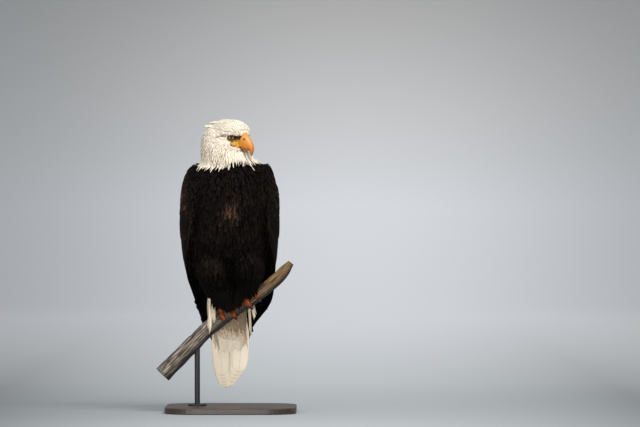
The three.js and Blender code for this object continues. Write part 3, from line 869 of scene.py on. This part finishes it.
# Breast and belly.
roots = scatter(7.4, fronted & (over_edge < 23))
tract(
    "breast_feathers", roots, mix(40.0, 30.0, ramp(roots[:, 2], 560, 640)), 15.0, "dark", ["trunk"],
    body_tone(roots), sink=4.0, rise=0.8, sharp=0.35, free=np.where(roots[:, 2] > 580, 3.0, np.inf),
)  # fmt: skip

# Shoulders and the wing's lesser coverts, larger towards the back.
winged = owned_by(*WINGS)
roots = scatter(8.6, winged & (form_z > 470))
large = ramp(roots[:, 1], 20, 90)
tract(
    "shoulder_feathers", roots, mix(30.0, 48.0, large), mix(15.0, 23.0, large), "dark", WINGS,
    body_tone(roots) + 0.05, sink=3.5, rise=1.0, sharp=0.15, free=3.0,
)  # fmt: skip

# The wing's front edge and inner face.
facing_in = (form_out[:, 0] * np.where(form_points[:, 0] > 0, 1, -1) < 0.25) & (form_z < 500)
roots = scatter(7.0, winged & facing_in & (form_z > 200))
tract(
    "underwing_feathers", roots, 30.0, 14.0, "dark", WINGS, body_tone(roots) * 0.5,
    sink=2.0, rise=0.0, sharp=0.2, yaw=4, free=2.0,
)  # fmt: skip

# Thighs: long soft feathers.
roots = scatter(6.0, owned_by(*THIGHS))
tract(
    "thigh_feathers", roots, 36.0, 10.0, "dark", THIGHS, body_tone(roots),
    sink=4.0, rise=1.6, sharp=0.6, yaw=9,
)  # fmt: skip

# Tail coverts, white above and below the tail, with a painted brown shadow under the branch, high on their front near
# the vent.
roots = scatter(4.6, owned_by(*COVERTS) & (form_z > 198))
# Painted shadow: the covert feathers under the branch are made browner.
branch_shadow = 0.64 * ramp(roots[:, 2], 205, 258) * (1 - ramp(roots[:, 1], 84, 100))
tract(
    "tail_covert_feathers", roots, RNG.uniform(36, 60, len(roots)), 12.0, "white", COVERTS,
    0.62 + 0.04 * noise(roots, 30) - branch_shadow, sink=1.6, rise=0.2, sharp=0.6, yaw=4, mottle=0.03,
    across=FLAT_ACROSS, camber=0.1,
)  # fmt: skip


# ---- Wing quills and their coverts ------------------------------------------------------------------

# By height: the middle, half width, front and back of the oval that a folded wing lies on, and the angles round it,
# in degrees from the front, of the wing's leading and trailing edges.
wing_middle = profile((652, 0), (600, -2), (500, -4), (350, -2), (305, 4), (270, 3), (228, -7), (162, -6))
wing_width = profile(
    (652, 92), (634, 110), (600, 126), (545, 133), (490, 131), (416, 124), (340, 114), (291, 103),
    (250, 84), (208, 62), (162, 44),
)  # fmt: skip
wing_front = profile(
    (652, -64), (620, -84), (550, -110), (480, -116), (400, -106), (350, -86), (320, -62), (285, -24),
    (250, 28), (218, 68), (162, 104),
)  # fmt: skip
wing_back = profile(
    (652, 74), (620, 90), (550, 112), (480, 121), (400, 124), (320, 122), (260, 126), (218, 132), (162, 144)
)
wing_leading = profile(
    (652, 44), (600, 46), (520, 51), (450, 60), (400, 76), (364, 92), (322, 93), (250, 91), (162, 88)
)
wing_trailing = profile(
    (652, 140), (600, 152), (540, 165), (460, 171), (400, 173), (322, 171), (250, 163), (162, 146)
)


def on_wing(sign, chord, level):
    """A point of the folded wing's outer face: at a share of the chord round the wing's oval at that level."""
    turn = np.radians(mix(wing_leading(level), wing_trailing(level), chord))
    middle = (wing_front(level) + wing_back(level)) / 2
    depth = (wing_back(level) - wing_front(level)) / 2
    x = wing_middle(level) + sign * wing_width(level) * np.sin(turn)
    return np.stack([x, middle - depth * np.cos(turn), level + 0 * x], -1)


QUILL_SHARES = np.array([0.0, 0.06, 0.18, 0.32, 0.46, 0.6, 0.73, 0.84, 0.92, 0.97, 1.0])
QUILL_ACROSS = np.array([-1.0, -0.5, 0.0, 0.5, 1.0])
TAIL_SHARES = np.array([0.0, 0.02, 0.1, 0.24, 0.38, 0.52, 0.66, 0.78, 0.88, 0.94, 0.97, 0.985, 0.995, 1.0])
TAIL_ACROSS = np.array([-1.0, -0.97, -0.5, 0.0, 0.5, 0.97, 1.0])


def quill_row(sign, count, chord, tip, length, width, lift, tuck, drift, sharp, tone, lean, roll):
    """A row of long wing feathers, their tips at heights tip(chord) and their roots a length above, tucked in.

    Lift is how far the tips lie off the wing's face, tuck how much deeper the roots lie, and drift how much further
    forward. The tone is a lean lighter on the bird's right and darker on its left.
    """
    chords = np.linspace(*chord, count)
    tips = tip(chords) + RNG.normal(0, 1.5, count)
    t = QUILL_SHARES
    level = tips[:, None] + length * (1 - t)
    at = chords[:, None] - drift * (1 - t)
    line = on_wing(sign, at, level)
    ahead = on_wing(sign, at + 0.01, level) - on_wing(sign, at - 0.01, level)
    below = on_wing(sign, at, level + 1) - on_wing(sign, at, level - 1)
    out = unit(np.cross(ahead, below)) * sign
    half = width / 2 * rounded(t, sharp) * np.ones((count, 1))
    height = mix(lift - tuck, lift, t**0.55) * np.ones((count, 1))
    shade = np.clip(tone - lean * sign + RNG.normal(0, 0.08, count), 0, 1)
    return vanes(line, out, half, height, shade, t, QUILL_ACROSS, camber=0.12, thick=0.8, roll=roll)


WING_ROWS = [
    dict(  # primaries
        count=18, chord=(0.0, 0.93), tip=profile((0, 254), (0.25, 222), (0.5, 191), (0.75, 163), (1, 174)),
        length=175, width=24, lift=-2.2, tuck=1.5, drift=0.02, sharp=0.5, tone=0.12, lean=0.0, roll=0.1,
    ),
    dict(  # secondaries
        count=12, chord=(0.05, 0.94), tip=profile((0, 334), (0.3, 318), (0.7, 290), (1, 300)),
        length=190, width=33, lift=-1.2, tuck=3.5, drift=0.03, sharp=0.1, tone=0.28, lean=0.0, roll=0.12,
    ),
    dict(  # greater coverts
        count=12, chord=(0.05, 0.97), tip=profile((0, 390), (0.35, 398), (1, 428)),
        length=96, width=28, lift=-0.2, tuck=4.5, drift=0.03, sharp=0.1, tone=0.36, lean=0.06, roll=0.12,
    ),
    dict(  # median coverts
        count=13, chord=(0.04, 0.97), tip=profile((0, 446), (0.35, 452), (1, 476)),
        length=66, width=25, lift=0.4, tuck=5.5, drift=0.03, sharp=0.1, tone=0.4, lean=0.08, roll=0.12,
    ),
]  # fmt: skip
coat_piece("wing_quills", joined(*(quill_row(sign, **row) for sign in (-1, 1) for row in WING_ROWS)), "dark", WINGS)


# ---- Tail -----------------------------------------------------------------------------------------

# The tail's middle line, from its root under the coverts to its tip.
TAIL_ROOT = np.array([0.0, 84.0, 318.0])
TAIL_TIP = np.array([0.0, 140.0, 62.0])
TAIL_COUNT = 12


def tail_quills():
    """Twelve tail feathers in a closed fan: the outer ones lie in front, and the middle pair reaches furthest."""
    place = np.linspace(-1, 1, TAIL_COUNT)
    tip_x = np.interp(place, [-1, -0.6, -0.2, 0.2, 0.6, 1], [-26, -24, -19, -9, 3, 17])
    tip_z = np.interp(place, [-1, -0.7, -0.35, 0, 0.25, 0.5, 0.75, 1], [88, 73, 59, 56, 60, 72, 84, 98])
    along = TAIL_TIP - TAIL_ROOT
    front = unit(np.cross(along, [1.0, 0, 0]))
    reach = (TAIL_ROOT[2] - tip_z) / (TAIL_ROOT[2] - TAIL_TIP[2])
    share = reach[:, None] * TAIL_SHARES
    x = mix((-4 + place * 8)[:, None], tip_x[:, None], TAIL_SHARES)
    x = x + 11 * place[:, None] * np.sin(np.pi * TAIL_SHARES)
    layer = mix(1.1, -1.1, 1 - np.abs(place))[:, None] + 4 * ((x + 4) / 40) ** 2
    line = TAIL_ROOT + share[..., None] * along + layer[..., None] * front
    line[..., 0] = x
    out = np.broadcast_to(front, line.shape)
    half = 23.0 * rounded(TAIL_SHARES, 0.0, 8.0) * np.ones((TAIL_COUNT, 1))
    tone = 0.6 + RNG.normal(0, 0.06, TAIL_COUNT)
    return vanes(line, out, half, 0 * half, tone, TAIL_SHARES, TAIL_ACROSS, camber=0.02, thick=0.6, roll=0.01)


coat_piece("tail_quills", tail_quills(), "white", ["tail"])


# ---- Loose strands --------------------------------------------------------------------------------


FRONT = np.array([0.0, -1.0, 0.0])


def strands(starts, ends, width, bow):
    """Loose feathers that hang free: arcs from start to end that bow to the front, each about as wide as given."""
    t = SHARES[:, None]
    line = mix(starts[:, None], ends[:, None], t) + FRONT * bow * np.sin(np.pi * t)
    out = np.broadcast_to(FRONT, line.shape)
    half = width / 2 * rounded(SHARES, 0.8) * np.ones((len(starts), 1)) * RNG.uniform(0.7, 1.3, (len(starts), 1))
    tone = np.clip(RNG.normal(0.55, 0.12, len(starts)), 0, 1)
    return vanes(line, out, half, 0 * half, tone, SHARES, ACROSS, camber=0.2, thick=0.5)


def hanging(count, top, spread, bottom, end_spread, width, bow):
    """A tuft of strands between two clouds of points, each about a middle and as wide as its spread."""
    starts = np.array(top) + RNG.normal(0, 1, (count, 3)) * spread
    ends = np.array(bottom) + RNG.normal(0, 1, (count, 3)) * end_spread
    return strands(starts, ends, width, bow)


def curtain(count, edge):
    """Dark feathers that hang from the thighs and belly over the toes, down to an edge's height at each x."""
    length, start_y, end_y = 44, -60, -40.0
    x = np.sort(RNG.uniform(-46, 66, count))
    bottom = edge(x) + RNG.normal(0, 4, count)
    starts, _ = lay_on(form, np.stack([x, 0 * x + start_y, bottom + length], 1))
    ends = np.stack([x + RNG.normal(0, 3, count), end_y + RNG.normal(0, 1.5, count), bottom], 1)
    return strands(starts + [0, 2, 0], ends, 8.0, 3.0)


# White tufts beside the feet, two at each side of the tail.
loose = joined(
    hanging(70, (-50, -16, 298), (4.5, 4, 9), (-55, -27, 222), (2.6, 2, 9), 7.0, 5.0),
    hanging(12, (-46, -20, 290), (3, 3, 6), (-42, -29, 240), (3, 2, 6), 4.0, 5.0),
    hanging(26, (46, 24, 290), (2.5, 3, 8), (49, 26, 212), (1.4, 2, 9), 5.0, 2.0),
    hanging(20, (53, 24, 290), (2.5, 3, 6), (60, 25, 246), (1.8, 2, 6), 5.0, 2.0),
)
# Two ruffled tufts at the back of the crown.
crest_roots = np.repeat([[-32.0, -6, 745], [-44, -4, 738]], 9, 0) + RNG.normal(0, 1.6, (18, 3))
crest_tips = np.repeat([[-55.0, 2, 749], [-69, 4, 741]], 9, 0) + RNG.normal(0, 2.0, (18, 3))
crest = strands(lay_on(form, crest_roots)[0], crest_tips, 4.6, 0.0)
belly = hanging(70, (2, -24, 350), (9, 5, 12), (2, -34, 288), (9, 3, 10), 9.0, 4.0)
fringe_edge = profile(
    (-46, 274), (-23, 272), (-13, 264), (3, 264), (13, 277), (23, 276), (31, 297), (44, 298), (66, 308)
)
coat_piece("leg_fringe", joined(belly, curtain(330, fringe_edge)), "dark", THIGHS, fade=0.3)
coat_piece("vent_strands", loose, "white", ["undertail_coverts"], fade=0.5)
coat_piece("crest_strands", crest, "white", ["head"])


# ---- Branch ---------------------------------------------------------------------------------------

BRANCH_FROM, BRANCH_TO = -178.0, 156.0
branch_height = profile((-178, 97), (-159, 117), (-102, 174), (-60, 216), (3, 262), (64, 301), (123, 349), (156, 388))
branch_radius = profile((-178, 22.5), (-60, 20.5), (3, 18.5), (64, 17.5), (123, 16.5), (142, 14), (156, 8))


def beside_branch(x, angle, distance):
    """A point beside the branch: turned by an angle from its upper side to the front, at a distance from its middle."""
    slope = np.arctan(branch_height(x + 1) - branch_height(x))
    upward = np.cos(angle) * distance
    return np.stack(
        [x - np.sin(slope) * upward, -np.sin(angle) * distance, branch_height(x) + np.cos(slope) * upward], -1
    )


def branch():
    """A dead branch: rings along its middle line, with long ridges, cracks and pits cut into its radius."""
    x = mix(BRANCH_FROM, BRANCH_TO, np.linspace(0, 1, 260))
    turn = circle(96)
    path = np.stack([x, 0 * x, branch_height(x)], 1)
    grain = stacked(x[:, None] / 9, 9 * np.cos(turn), 9 * np.sin(turn))
    ridges = noise(grain, 2.2) + 0.5 * noise(grain + 40, 1.1)
    cracks = ramp(noise(grain * [0.6, 1, 1] + 90, 1.7), 0.42, 0.7)
    pits = ramp(noise(stacked(x[:, None], 20 * np.cos(turn), 20 * np.sin(turn)), 9.0), 0.55, 0.8)
    broken = ramp(x, 110, 150)[:, None]
    radius = branch_radius(x)[:, None] + 0.8 * ridges - 2.6 * cracks - pits * mix(1.0, 3.4, broken) - 0.6
    # Painted shade in the cracks and pits, stronger towards the broken end.
    shade = np.clip(0.8 * cracks + 0.7 * pits * mix(0.5, 1, broken), 0, 1)
    share = (x[:, None] - BRANCH_FROM) / (BRANCH_TO - BRANCH_FROM)
    # The second number is 1 on the branch's underside, where shade is painted.
    mark = stacked(share, (1 + np.cos(turn)) * 0.5, shade)
    return *closed_form(tube(path, radius, len(turn))), capped(mark)


points, faces, mark = branch()
piece("branch_wood", points, faces, WOOD, "dead_wood", ["perch_branch"], marking=mark)


# ---- Feet and talons ------------------------------------------------------------------------------

# Of each toe: how far it drifts along the branch, the angle it reaches round it, its radius, and its claw's angle.
TOES = {
    "inner": (16, 98, 7.4, 50),
    "middle": (1, 128, 7.8, 42),
    "outer": (-22, 104, 8.2, 42),
    "hind": (-2, -96, 8.0, -56),
}
FOOT_X = {"right": 0.0, "left": 44.0}
ANKLES = {"right": np.array([-26.0, 4, 314]), "left": np.array([31.0, 4, 336])}
TOE_SIGN = {"right": 1, "left": -1}
PAD = 12.0  # the radius of the ball of the foot
BARK_GAP = 1.6  # between the branch's middle radius and a toe's underside


def toe(side, drift, reach, radius):
    """A toe round the branch: knuckled, with overlapping plates along its back and pads beneath."""
    t = np.linspace(0, 1, 110)
    x = FOOT_X[side] + TOE_SIGN[side] * drift * (1 - np.cos(np.pi * t**0.6)) / 2
    clear = branch_radius(x) + BARK_GAP + radius * mix(1.15, 0.8, t)
    path = beside_branch(x, np.radians(mix(0.02 * reach, reach, t)), clear)
    thick = radius * (1.12 - 0.34 * t + 0.09 * np.cos(6 * np.pi * t))
    plates = ((t * 13) % 1)[:, None]
    ring = unit(tube(path, 1 + 0 * t, 24) - path[:, None])
    outwards = unit(path - np.stack([x, 0 * x, branch_height(x)], 1))
    back = np.clip((ring * outwards[:, None]).sum(-1), 0, 1)
    pads = 0.05 * np.cos(10 * np.pi * t)[:, None] * (1 - back)
    scale = 0.97 + 0.1 * back * (1 - plates) + pads
    ends = np.sqrt(np.clip(1 - np.clip((t - 0.9) / 0.11, 0, 1) ** 2, 0.05, 1))
    # Painted shade: the foot's share drops in the gaps between the plates, so the dark skin colour shows there.
    crease_shade = 1 - 0.62 * ramp(plates, 0.72, 1.0) * ramp(back, 0.05, 0.4)
    return path[:, None] + ring * (thick * ends)[:, None, None] * scale[..., None], stacked(0.0, crease_shade, 0.0)


def foot_form(side):
    """The shank with its ring plates, the ball of the foot, and the four toes."""
    root = FOOT_X[side]
    ball = beside_branch(root, 0.0, branch_radius(root) + PAD + 1.2)
    t = np.linspace(0, 1, 40)
    path = mix(ball, ANKLES[side], t[:, None])
    shank = tube(path, mix(PAD, 10.5, t) * (1 + 0.04 * (1 - (t * 11) % 1)), 28)
    polar = np.linspace(0.08, np.pi - 0.08, 20)
    up = path[0] + np.stack([0 * polar, 0 * polar, np.cos(polar)], 1) * (PAD + 0.6)
    knob = tube(up, (PAD + 0.6) * np.sin(polar), 28)
    forms = [(*closed_form(grid), np.tile([0.0, 1.0, 0.0], (grid.size // 3 + 2, 1))) for grid in (shank, knob)]
    for name in TOES:
        grid, mark = toe(side, *TOES[name][:3])
        forms.append((*closed_form(grid), capped(mark)))
    return joined(*forms)


def talon(side, drift, reach, radius, sweep):
    """A claw: a tapering tube that arches on round the branch from the toe's end to a point."""
    t = np.linspace(0, 1, 36)
    x = FOOT_X[side] + TOE_SIGN[side] * drift + 0 * t
    start = branch_radius(x) + BARK_GAP + radius * 0.8
    end = branch_radius(x) + 2.1
    path = beside_branch(x, np.radians(reach + sweep * t), mix(start, end, t) + 3.4 * np.sin(np.pi * t))
    return tube(path, mix(4.6, 0.5, t**1.25), 20)


for side in ("right", "left"):
    for name, measures in TOES.items():
        points, faces = closed_form(talon(side, *measures))
        piece(f"talon_{side}_{name}", points, faces, TALON, "talon_horn", [f"claw_{side}_{name}"])


# ---- Skin -----------------------------------------------------------------------------------------


EYE_RADIUS = 11.4


def eye_frame(sign):
    """An eye's middle, the way it looks, and the ways sideways and upwards round that axis."""
    axis = unit(head_place(sign * 0.76, 0.65, 0.02) - HEAD_MIDDLE)
    upward = unit(np.array([0, 0, 1.0]) - axis * axis[2])
    return head_place(sign * 23, 22.5, 2.5), axis, np.cross(upward, axis), upward


def eyelids(sign):
    """A rolled rim round an eye: rings about its axis, from the opening's edge out under the feathers."""
    middle, axis, sideways, upward = eye_frame(sign)
    turn = circle(56)
    opening = np.radians(37 - 31 * np.clip(np.sin(turn), 0, 1) ** 1.2 - 15 * np.clip(-np.sin(turn), 0, 1))
    share = np.linspace(0, 1, 12)[:, None]
    polar = opening + share**1.2 * np.radians(42)
    distance = EYE_RADIUS + 0.3 + 1.5 * np.sin(np.pi * np.clip(share * 2.4, 0, 1)) + 2.2 * share**2
    distance = distance + 0.25 * np.sin(polar * 60) * share
    around = sideways * np.cos(turn)[:, None] + upward * np.sin(turn)[:, None]
    ring = axis * np.cos(polar)[..., None] + around * np.sin(polar)[..., None]
    front = ring * distance[..., None]
    behind = ring[::-1] * (distance[::-1, :, None] - np.minimum(1.2 * share[::-1], 1.2)[..., None] - 0.25)
    loop = np.concatenate([front, behind]) + middle
    rings, steps = loop.shape[:2]
    a, b = ring_corners(rings, steps)
    c, d = (b + steps) % (rings * steps), (a + steps) % (rings * steps)
    points = loop.reshape(-1, 3)
    faces = outward(points, np.concatenate([np.stack([a, b, c], 1), np.stack([a, c, d], 1)]))
    rim = 1 - ramp(np.concatenate([share, share[::-1]]), 0.2, 0.5)
    mark = stacked(0.0, 0.0, 0.4 + 0.35 * (1 - rim)) * np.ones((rings, steps, 1))
    return points, faces, mark.reshape(-1, 3)


def skin():
    """The form drawn in by the coat's depth, shorter where quills alone make the wing and tail, with feet and lids."""
    depth = np.where(owned_by("head"), 1.4, 3.2)
    # A wing thins towards its tip, so the skin is drawn in by no more than 0.4 of its thickness there.
    wing_thick = np.interp(form_z, [162, 200, 250, 322, 400], [6, 8, 11, 17, 24])
    depth = np.where(winged, np.minimum(6.0, wing_thick * 0.4), depth)
    depth = np.where(owned_by("tail"), 2.4, depth)
    points = form_points - form_out * depth[:, None]
    shorter = np.where(winged & (form_z < 250), (250 - form_z) * 0.85, 0)
    shorter += np.where(owned_by("tail") & (form_z < 230), (230 - form_z) * 0.6, 0)
    points[:, 2] += shorter
    points[:, 1] -= np.where(owned_by("tail"), shorter * 0.22, 0)
    white = ramp(over_edge, 18, 24) * fronted + owned_by("tail", *COVERTS)
    # Painted shade: the lore's number drops towards the brow, so the bare skin under it is darker.
    lore = in_lore * ramp(lore_edge, -4, -1) * (skull_up < 9) * mix(1.0, 0.34, ramp(skull_up, -11, 5))
    mark = np.stack([white, 0 * white, lore], 1)
    return joined((points, form_faces, mark), foot_form("right"), foot_form("left"), eyelids(-1), eyelids(1))


points, faces, mark = skin()
piece("skin", points, faces, SKIN, "foot_skin", FLESH + FEET, marking=mark)


# ---- Bill and eyes --------------------------------------------------------------------------------

# Forward and up in the head's own frame, from the bill's root to its tip.
RIDGE = np.array(
    [[38, 20], [46, 17.5], [57, 11], [67, 2], [75, -9], [79.6, -20], [80.2, -28], [78.6, -36], [76, -42.5]]
)
CUTTING_EDGE = np.array(
    [[34, -20], [38, -21], [46, -22.5], [58, -25], [65, -25], [69.5, -29], [72.5, -36], [75.4, -41.8]]
)
bill_width = profile((0, 14.5), (0.3, 13.5), (0.5, 10.5), (0.75, 6), (0.95, 2.4), (1, 1.2))


def through(keys, t):
    """A smooth curve through points, at shares t of the way through their list."""
    number = np.linspace(0, 1, len(keys))
    return np.stack([profile(*zip(number, keys[:, axis]))(t) for axis in (0, 1)], -1)


def upper_bill():
    """Slices from the ridge to the cutting edge, round above and squarer below, with a cere, nostrils and a keel."""
    t = np.linspace(0, 1, 90)[:, None]
    turn = circle(72)
    top, low = through(RIDGE, t[:, 0]), through(CUTTING_EDGE, t[:, 0])
    middle, half = (top + low)[:, None] / 2, (top - low)[:, None] / 2
    boxy = np.where(np.cos(turn) > 0, 1, 0.55)
    up = np.sign(np.cos(turn)) * np.abs(np.cos(turn)) ** boxy
    across = np.sign(np.sin(turn)) * np.abs(np.sin(turn)) ** boxy
    cere = 1 - ramp(t, 0.36, 0.4)
    nostril = np.exp(-(((t - 0.29) / 0.026) ** 2) - ((np.cos(turn) - 0.42) / 0.13) ** 2)
    swell = 1 + 0.04 * cere - 0.2 * nostril
    side = bill_width(t) * across * swell
    forward = middle[..., 0] + half[..., 0] * up * (1 + 0.02 * cere)
    height = middle[..., 1] + half[..., 1] * up * (1 + 0.02 * cere)
    grid = head_place(side, forward, height)
    # Painted shade: darker on the bill's underside and in the nostril; the hook's tip is darker too.
    bill_underside_shade_and_tip = ramp(-np.cos(turn), 0.45, 0.95) * (0.4 + 0.3 * ramp(t, 0.4, 0.6)) * (1 - ramp(t, 0.75, 0.9))
    bill_underside_shade_and_tip = bill_underside_shade_and_tip + 0.5 * ramp(t, 0.9, 1.0)
    shade = np.clip(1.2 * nostril**0.7 + bill_underside_shade_and_tip, 0, 1)
    return *closed_form(grid), capped(stacked(t, shade, 0.0))


GAPE_COUNT = 30


def lower_bill():
    """Level slices under the upper bill, and the fleshy yellow corner of the mouth on each cheek."""
    t = np.linspace(0, 1, 40)[:, None]
    turn = circle(40)
    width = profile((0, 12.5), (0.5, 10), (0.85, 7), (1, 3))(t)
    top = profile((0, -17), (0.4, -20), (0.85, -23), (1, -25))(t)
    depth = profile((0, 9), (0.5, 8.5), (0.85, 7), (1, 4))(t) / 2
    grid = head_place(width * np.sin(turn) * 0.9, mix(32, 66, t), top - depth + depth * np.cos(turn))
    # Painted shade: the whole lower bill is darkened, as in the shadow of the upper bill.
    forms = [(*closed_form(grid), capped(stacked(0.3 * t, 0.45 + 0 * turn, 0.0)))]
    thick = profile((0, 3.8), (0.4, 3.4), (0.8, 2.2), (1, 0.8))(np.linspace(0, 1, GAPE_COUNT))
    for sign in (-1, 1):
        on, out = lay_on(form, gape_line(sign, GAPE_COUNT))
        points, faces = closed_form(tube(on + out * 0.9, thick, 18))
        forms.append((points, faces, np.tile([0.0, 0.2, 0.0], (len(points), 1))))
    return joined(*forms)


def eye_form(sign):
    """A ball about its looking axis with a bulging front, marked by each point's angle from the axis and its turn."""
    middle, axis, sideways, upward = eye_frame(sign)
    polar = np.linspace(0.02, np.pi - 0.02, 60)[:, None, None]
    turn = circle(60)[:, None]
    radius = EYE_RADIUS + 0.9 * np.exp(-((polar / 0.5) ** 2))
    ring = sideways * np.cos(turn) + upward * np.sin(turn)
    grid = middle + radius * (axis * np.cos(polar) + ring * np.sin(polar))
    return *closed_form(grid), capped(stacked(polar[..., 0] / 1.6, turn[:, 0], 0.0))


for name, made, material, slot, node in (
    ("bill_top", upper_bill(), HORN, "bill_horn", "bill_upper"),
    ("bill_under", lower_bill(), HORN, "bill_horn", "bill_lower"),
    ("eyeball_right", eye_form(-1), WET_EYE, "eye", "eye_right"),
    ("eyeball_left", eye_form(1), WET_EYE, "eye", "eye_left"),
):
    points, faces, mark = made
    piece(name, points, faces, material, slot, [node], marking=mark)

bpy.data.objects.remove(form)


# ---- Stand ----------------------------------------------------------------------------------------

for name, material in (("stand_base", BASE_WOOD), ("stand_rod", STEEL)):
    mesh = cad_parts[name].data
    mesh.materials.clear()
    mesh.materials.append(material)


# ---- Stage, light and camera ------------------------------------------------------------------------


def backdrop():
    """A round studio cove: a level floor that sweeps up into a round wall, in metres."""
    floor, bend, top = 11, 4, 6.0
    sweep = np.linspace(0, np.pi / 2, 24)
    reach = np.concatenate([[0.01, 2.0, 6.0], floor + bend * np.sin(sweep), [floor + bend]])
    height = np.concatenate([[0.0, 0.0, 0.0], bend - bend * np.cos(sweep), [top]])
    turn = circle(128)
    grid = stacked(reach[:, None] * np.cos(turn), reach[:, None] * np.sin(turn), height[:, None])
    a, b = ring_corners(len(reach) - 1, len(turn))
    faces = np.stack([a, a + len(turn), b + len(turn), b], 1)
    sheet = raw_mesh("studio_cove", grid.reshape(-1, 3), faces)
    sheet.data.materials.append(PAPER)


def area_light(name, place, aim, size, power, colour, spread=np.pi):
    """A square soft light at a place, turned to its aim and narrowed to a spread."""
    lamp = bpy.data.lights.new(name, "AREA")
    lamp.size, lamp.energy, lamp.color, lamp.spread = size, power, colour, spread
    thing = bpy.data.objects.new(name, lamp)
    thing.location = place
    thing.rotation_euler = (Vector(aim) - Vector(place)).to_track_quat("-Z", "Y").to_euler()
    bpy.context.scene.collection.objects.link(thing)


backdrop()
# The sky's broad light from high in front, a weak fill from the left, and a little light under the tail.
area_light("sky_panel", (1.3, -2.0, 3.4), (0, 0, 0.55), 2.2, 150, (1.0, 0.98, 0.94))
area_light("left_fill", (-3.0, -2.6, 1.6), (0, 0, 0.45), 2.4, 30, (0.98, 0.98, 1.0))
area_light("low_fill", (-0.2, -2.2, 0.1), (0, 0.1, 0.16), 0.5, 1.5, (1.0, 0.97, 0.92), 0.6)

world = bpy.data.worlds.new("soft_room")
world.use_nodes = True
around = world.node_tree.nodes["Background"].inputs
around["Color"].default_value, around["Strength"].default_value = linear("#cfd0d4"), 1.0
bpy.context.scene.world = world
bpy.context.scene.view_settings.view_transform = "Standard"

# A picture 640 pixels wide in which 10 m away, at the bird, a pixel is 2.6 mm: 10 m / 2.6 mm is 3846 pixels.
PICTURE_WIDTH = 640
FOCAL_PIXELS = 3846
SENSOR_WIDTH = 36.0

lens = bpy.data.cameras.new("long_lens")
lens.sensor_width = SENSOR_WIDTH
lens.lens = FOCAL_PIXELS * SENSOR_WIDTH / PICTURE_WIDTH
lens.clip_end = 60
camera = bpy.data.objects.new("camera", lens)
camera.location = (0.231, -10.0, 0.516)
camera.rotation_euler = (np.pi / 2, 0, 0)
bpy.context.scene.collection.objects.link(camera)
bpy.context.scene.camera = camera
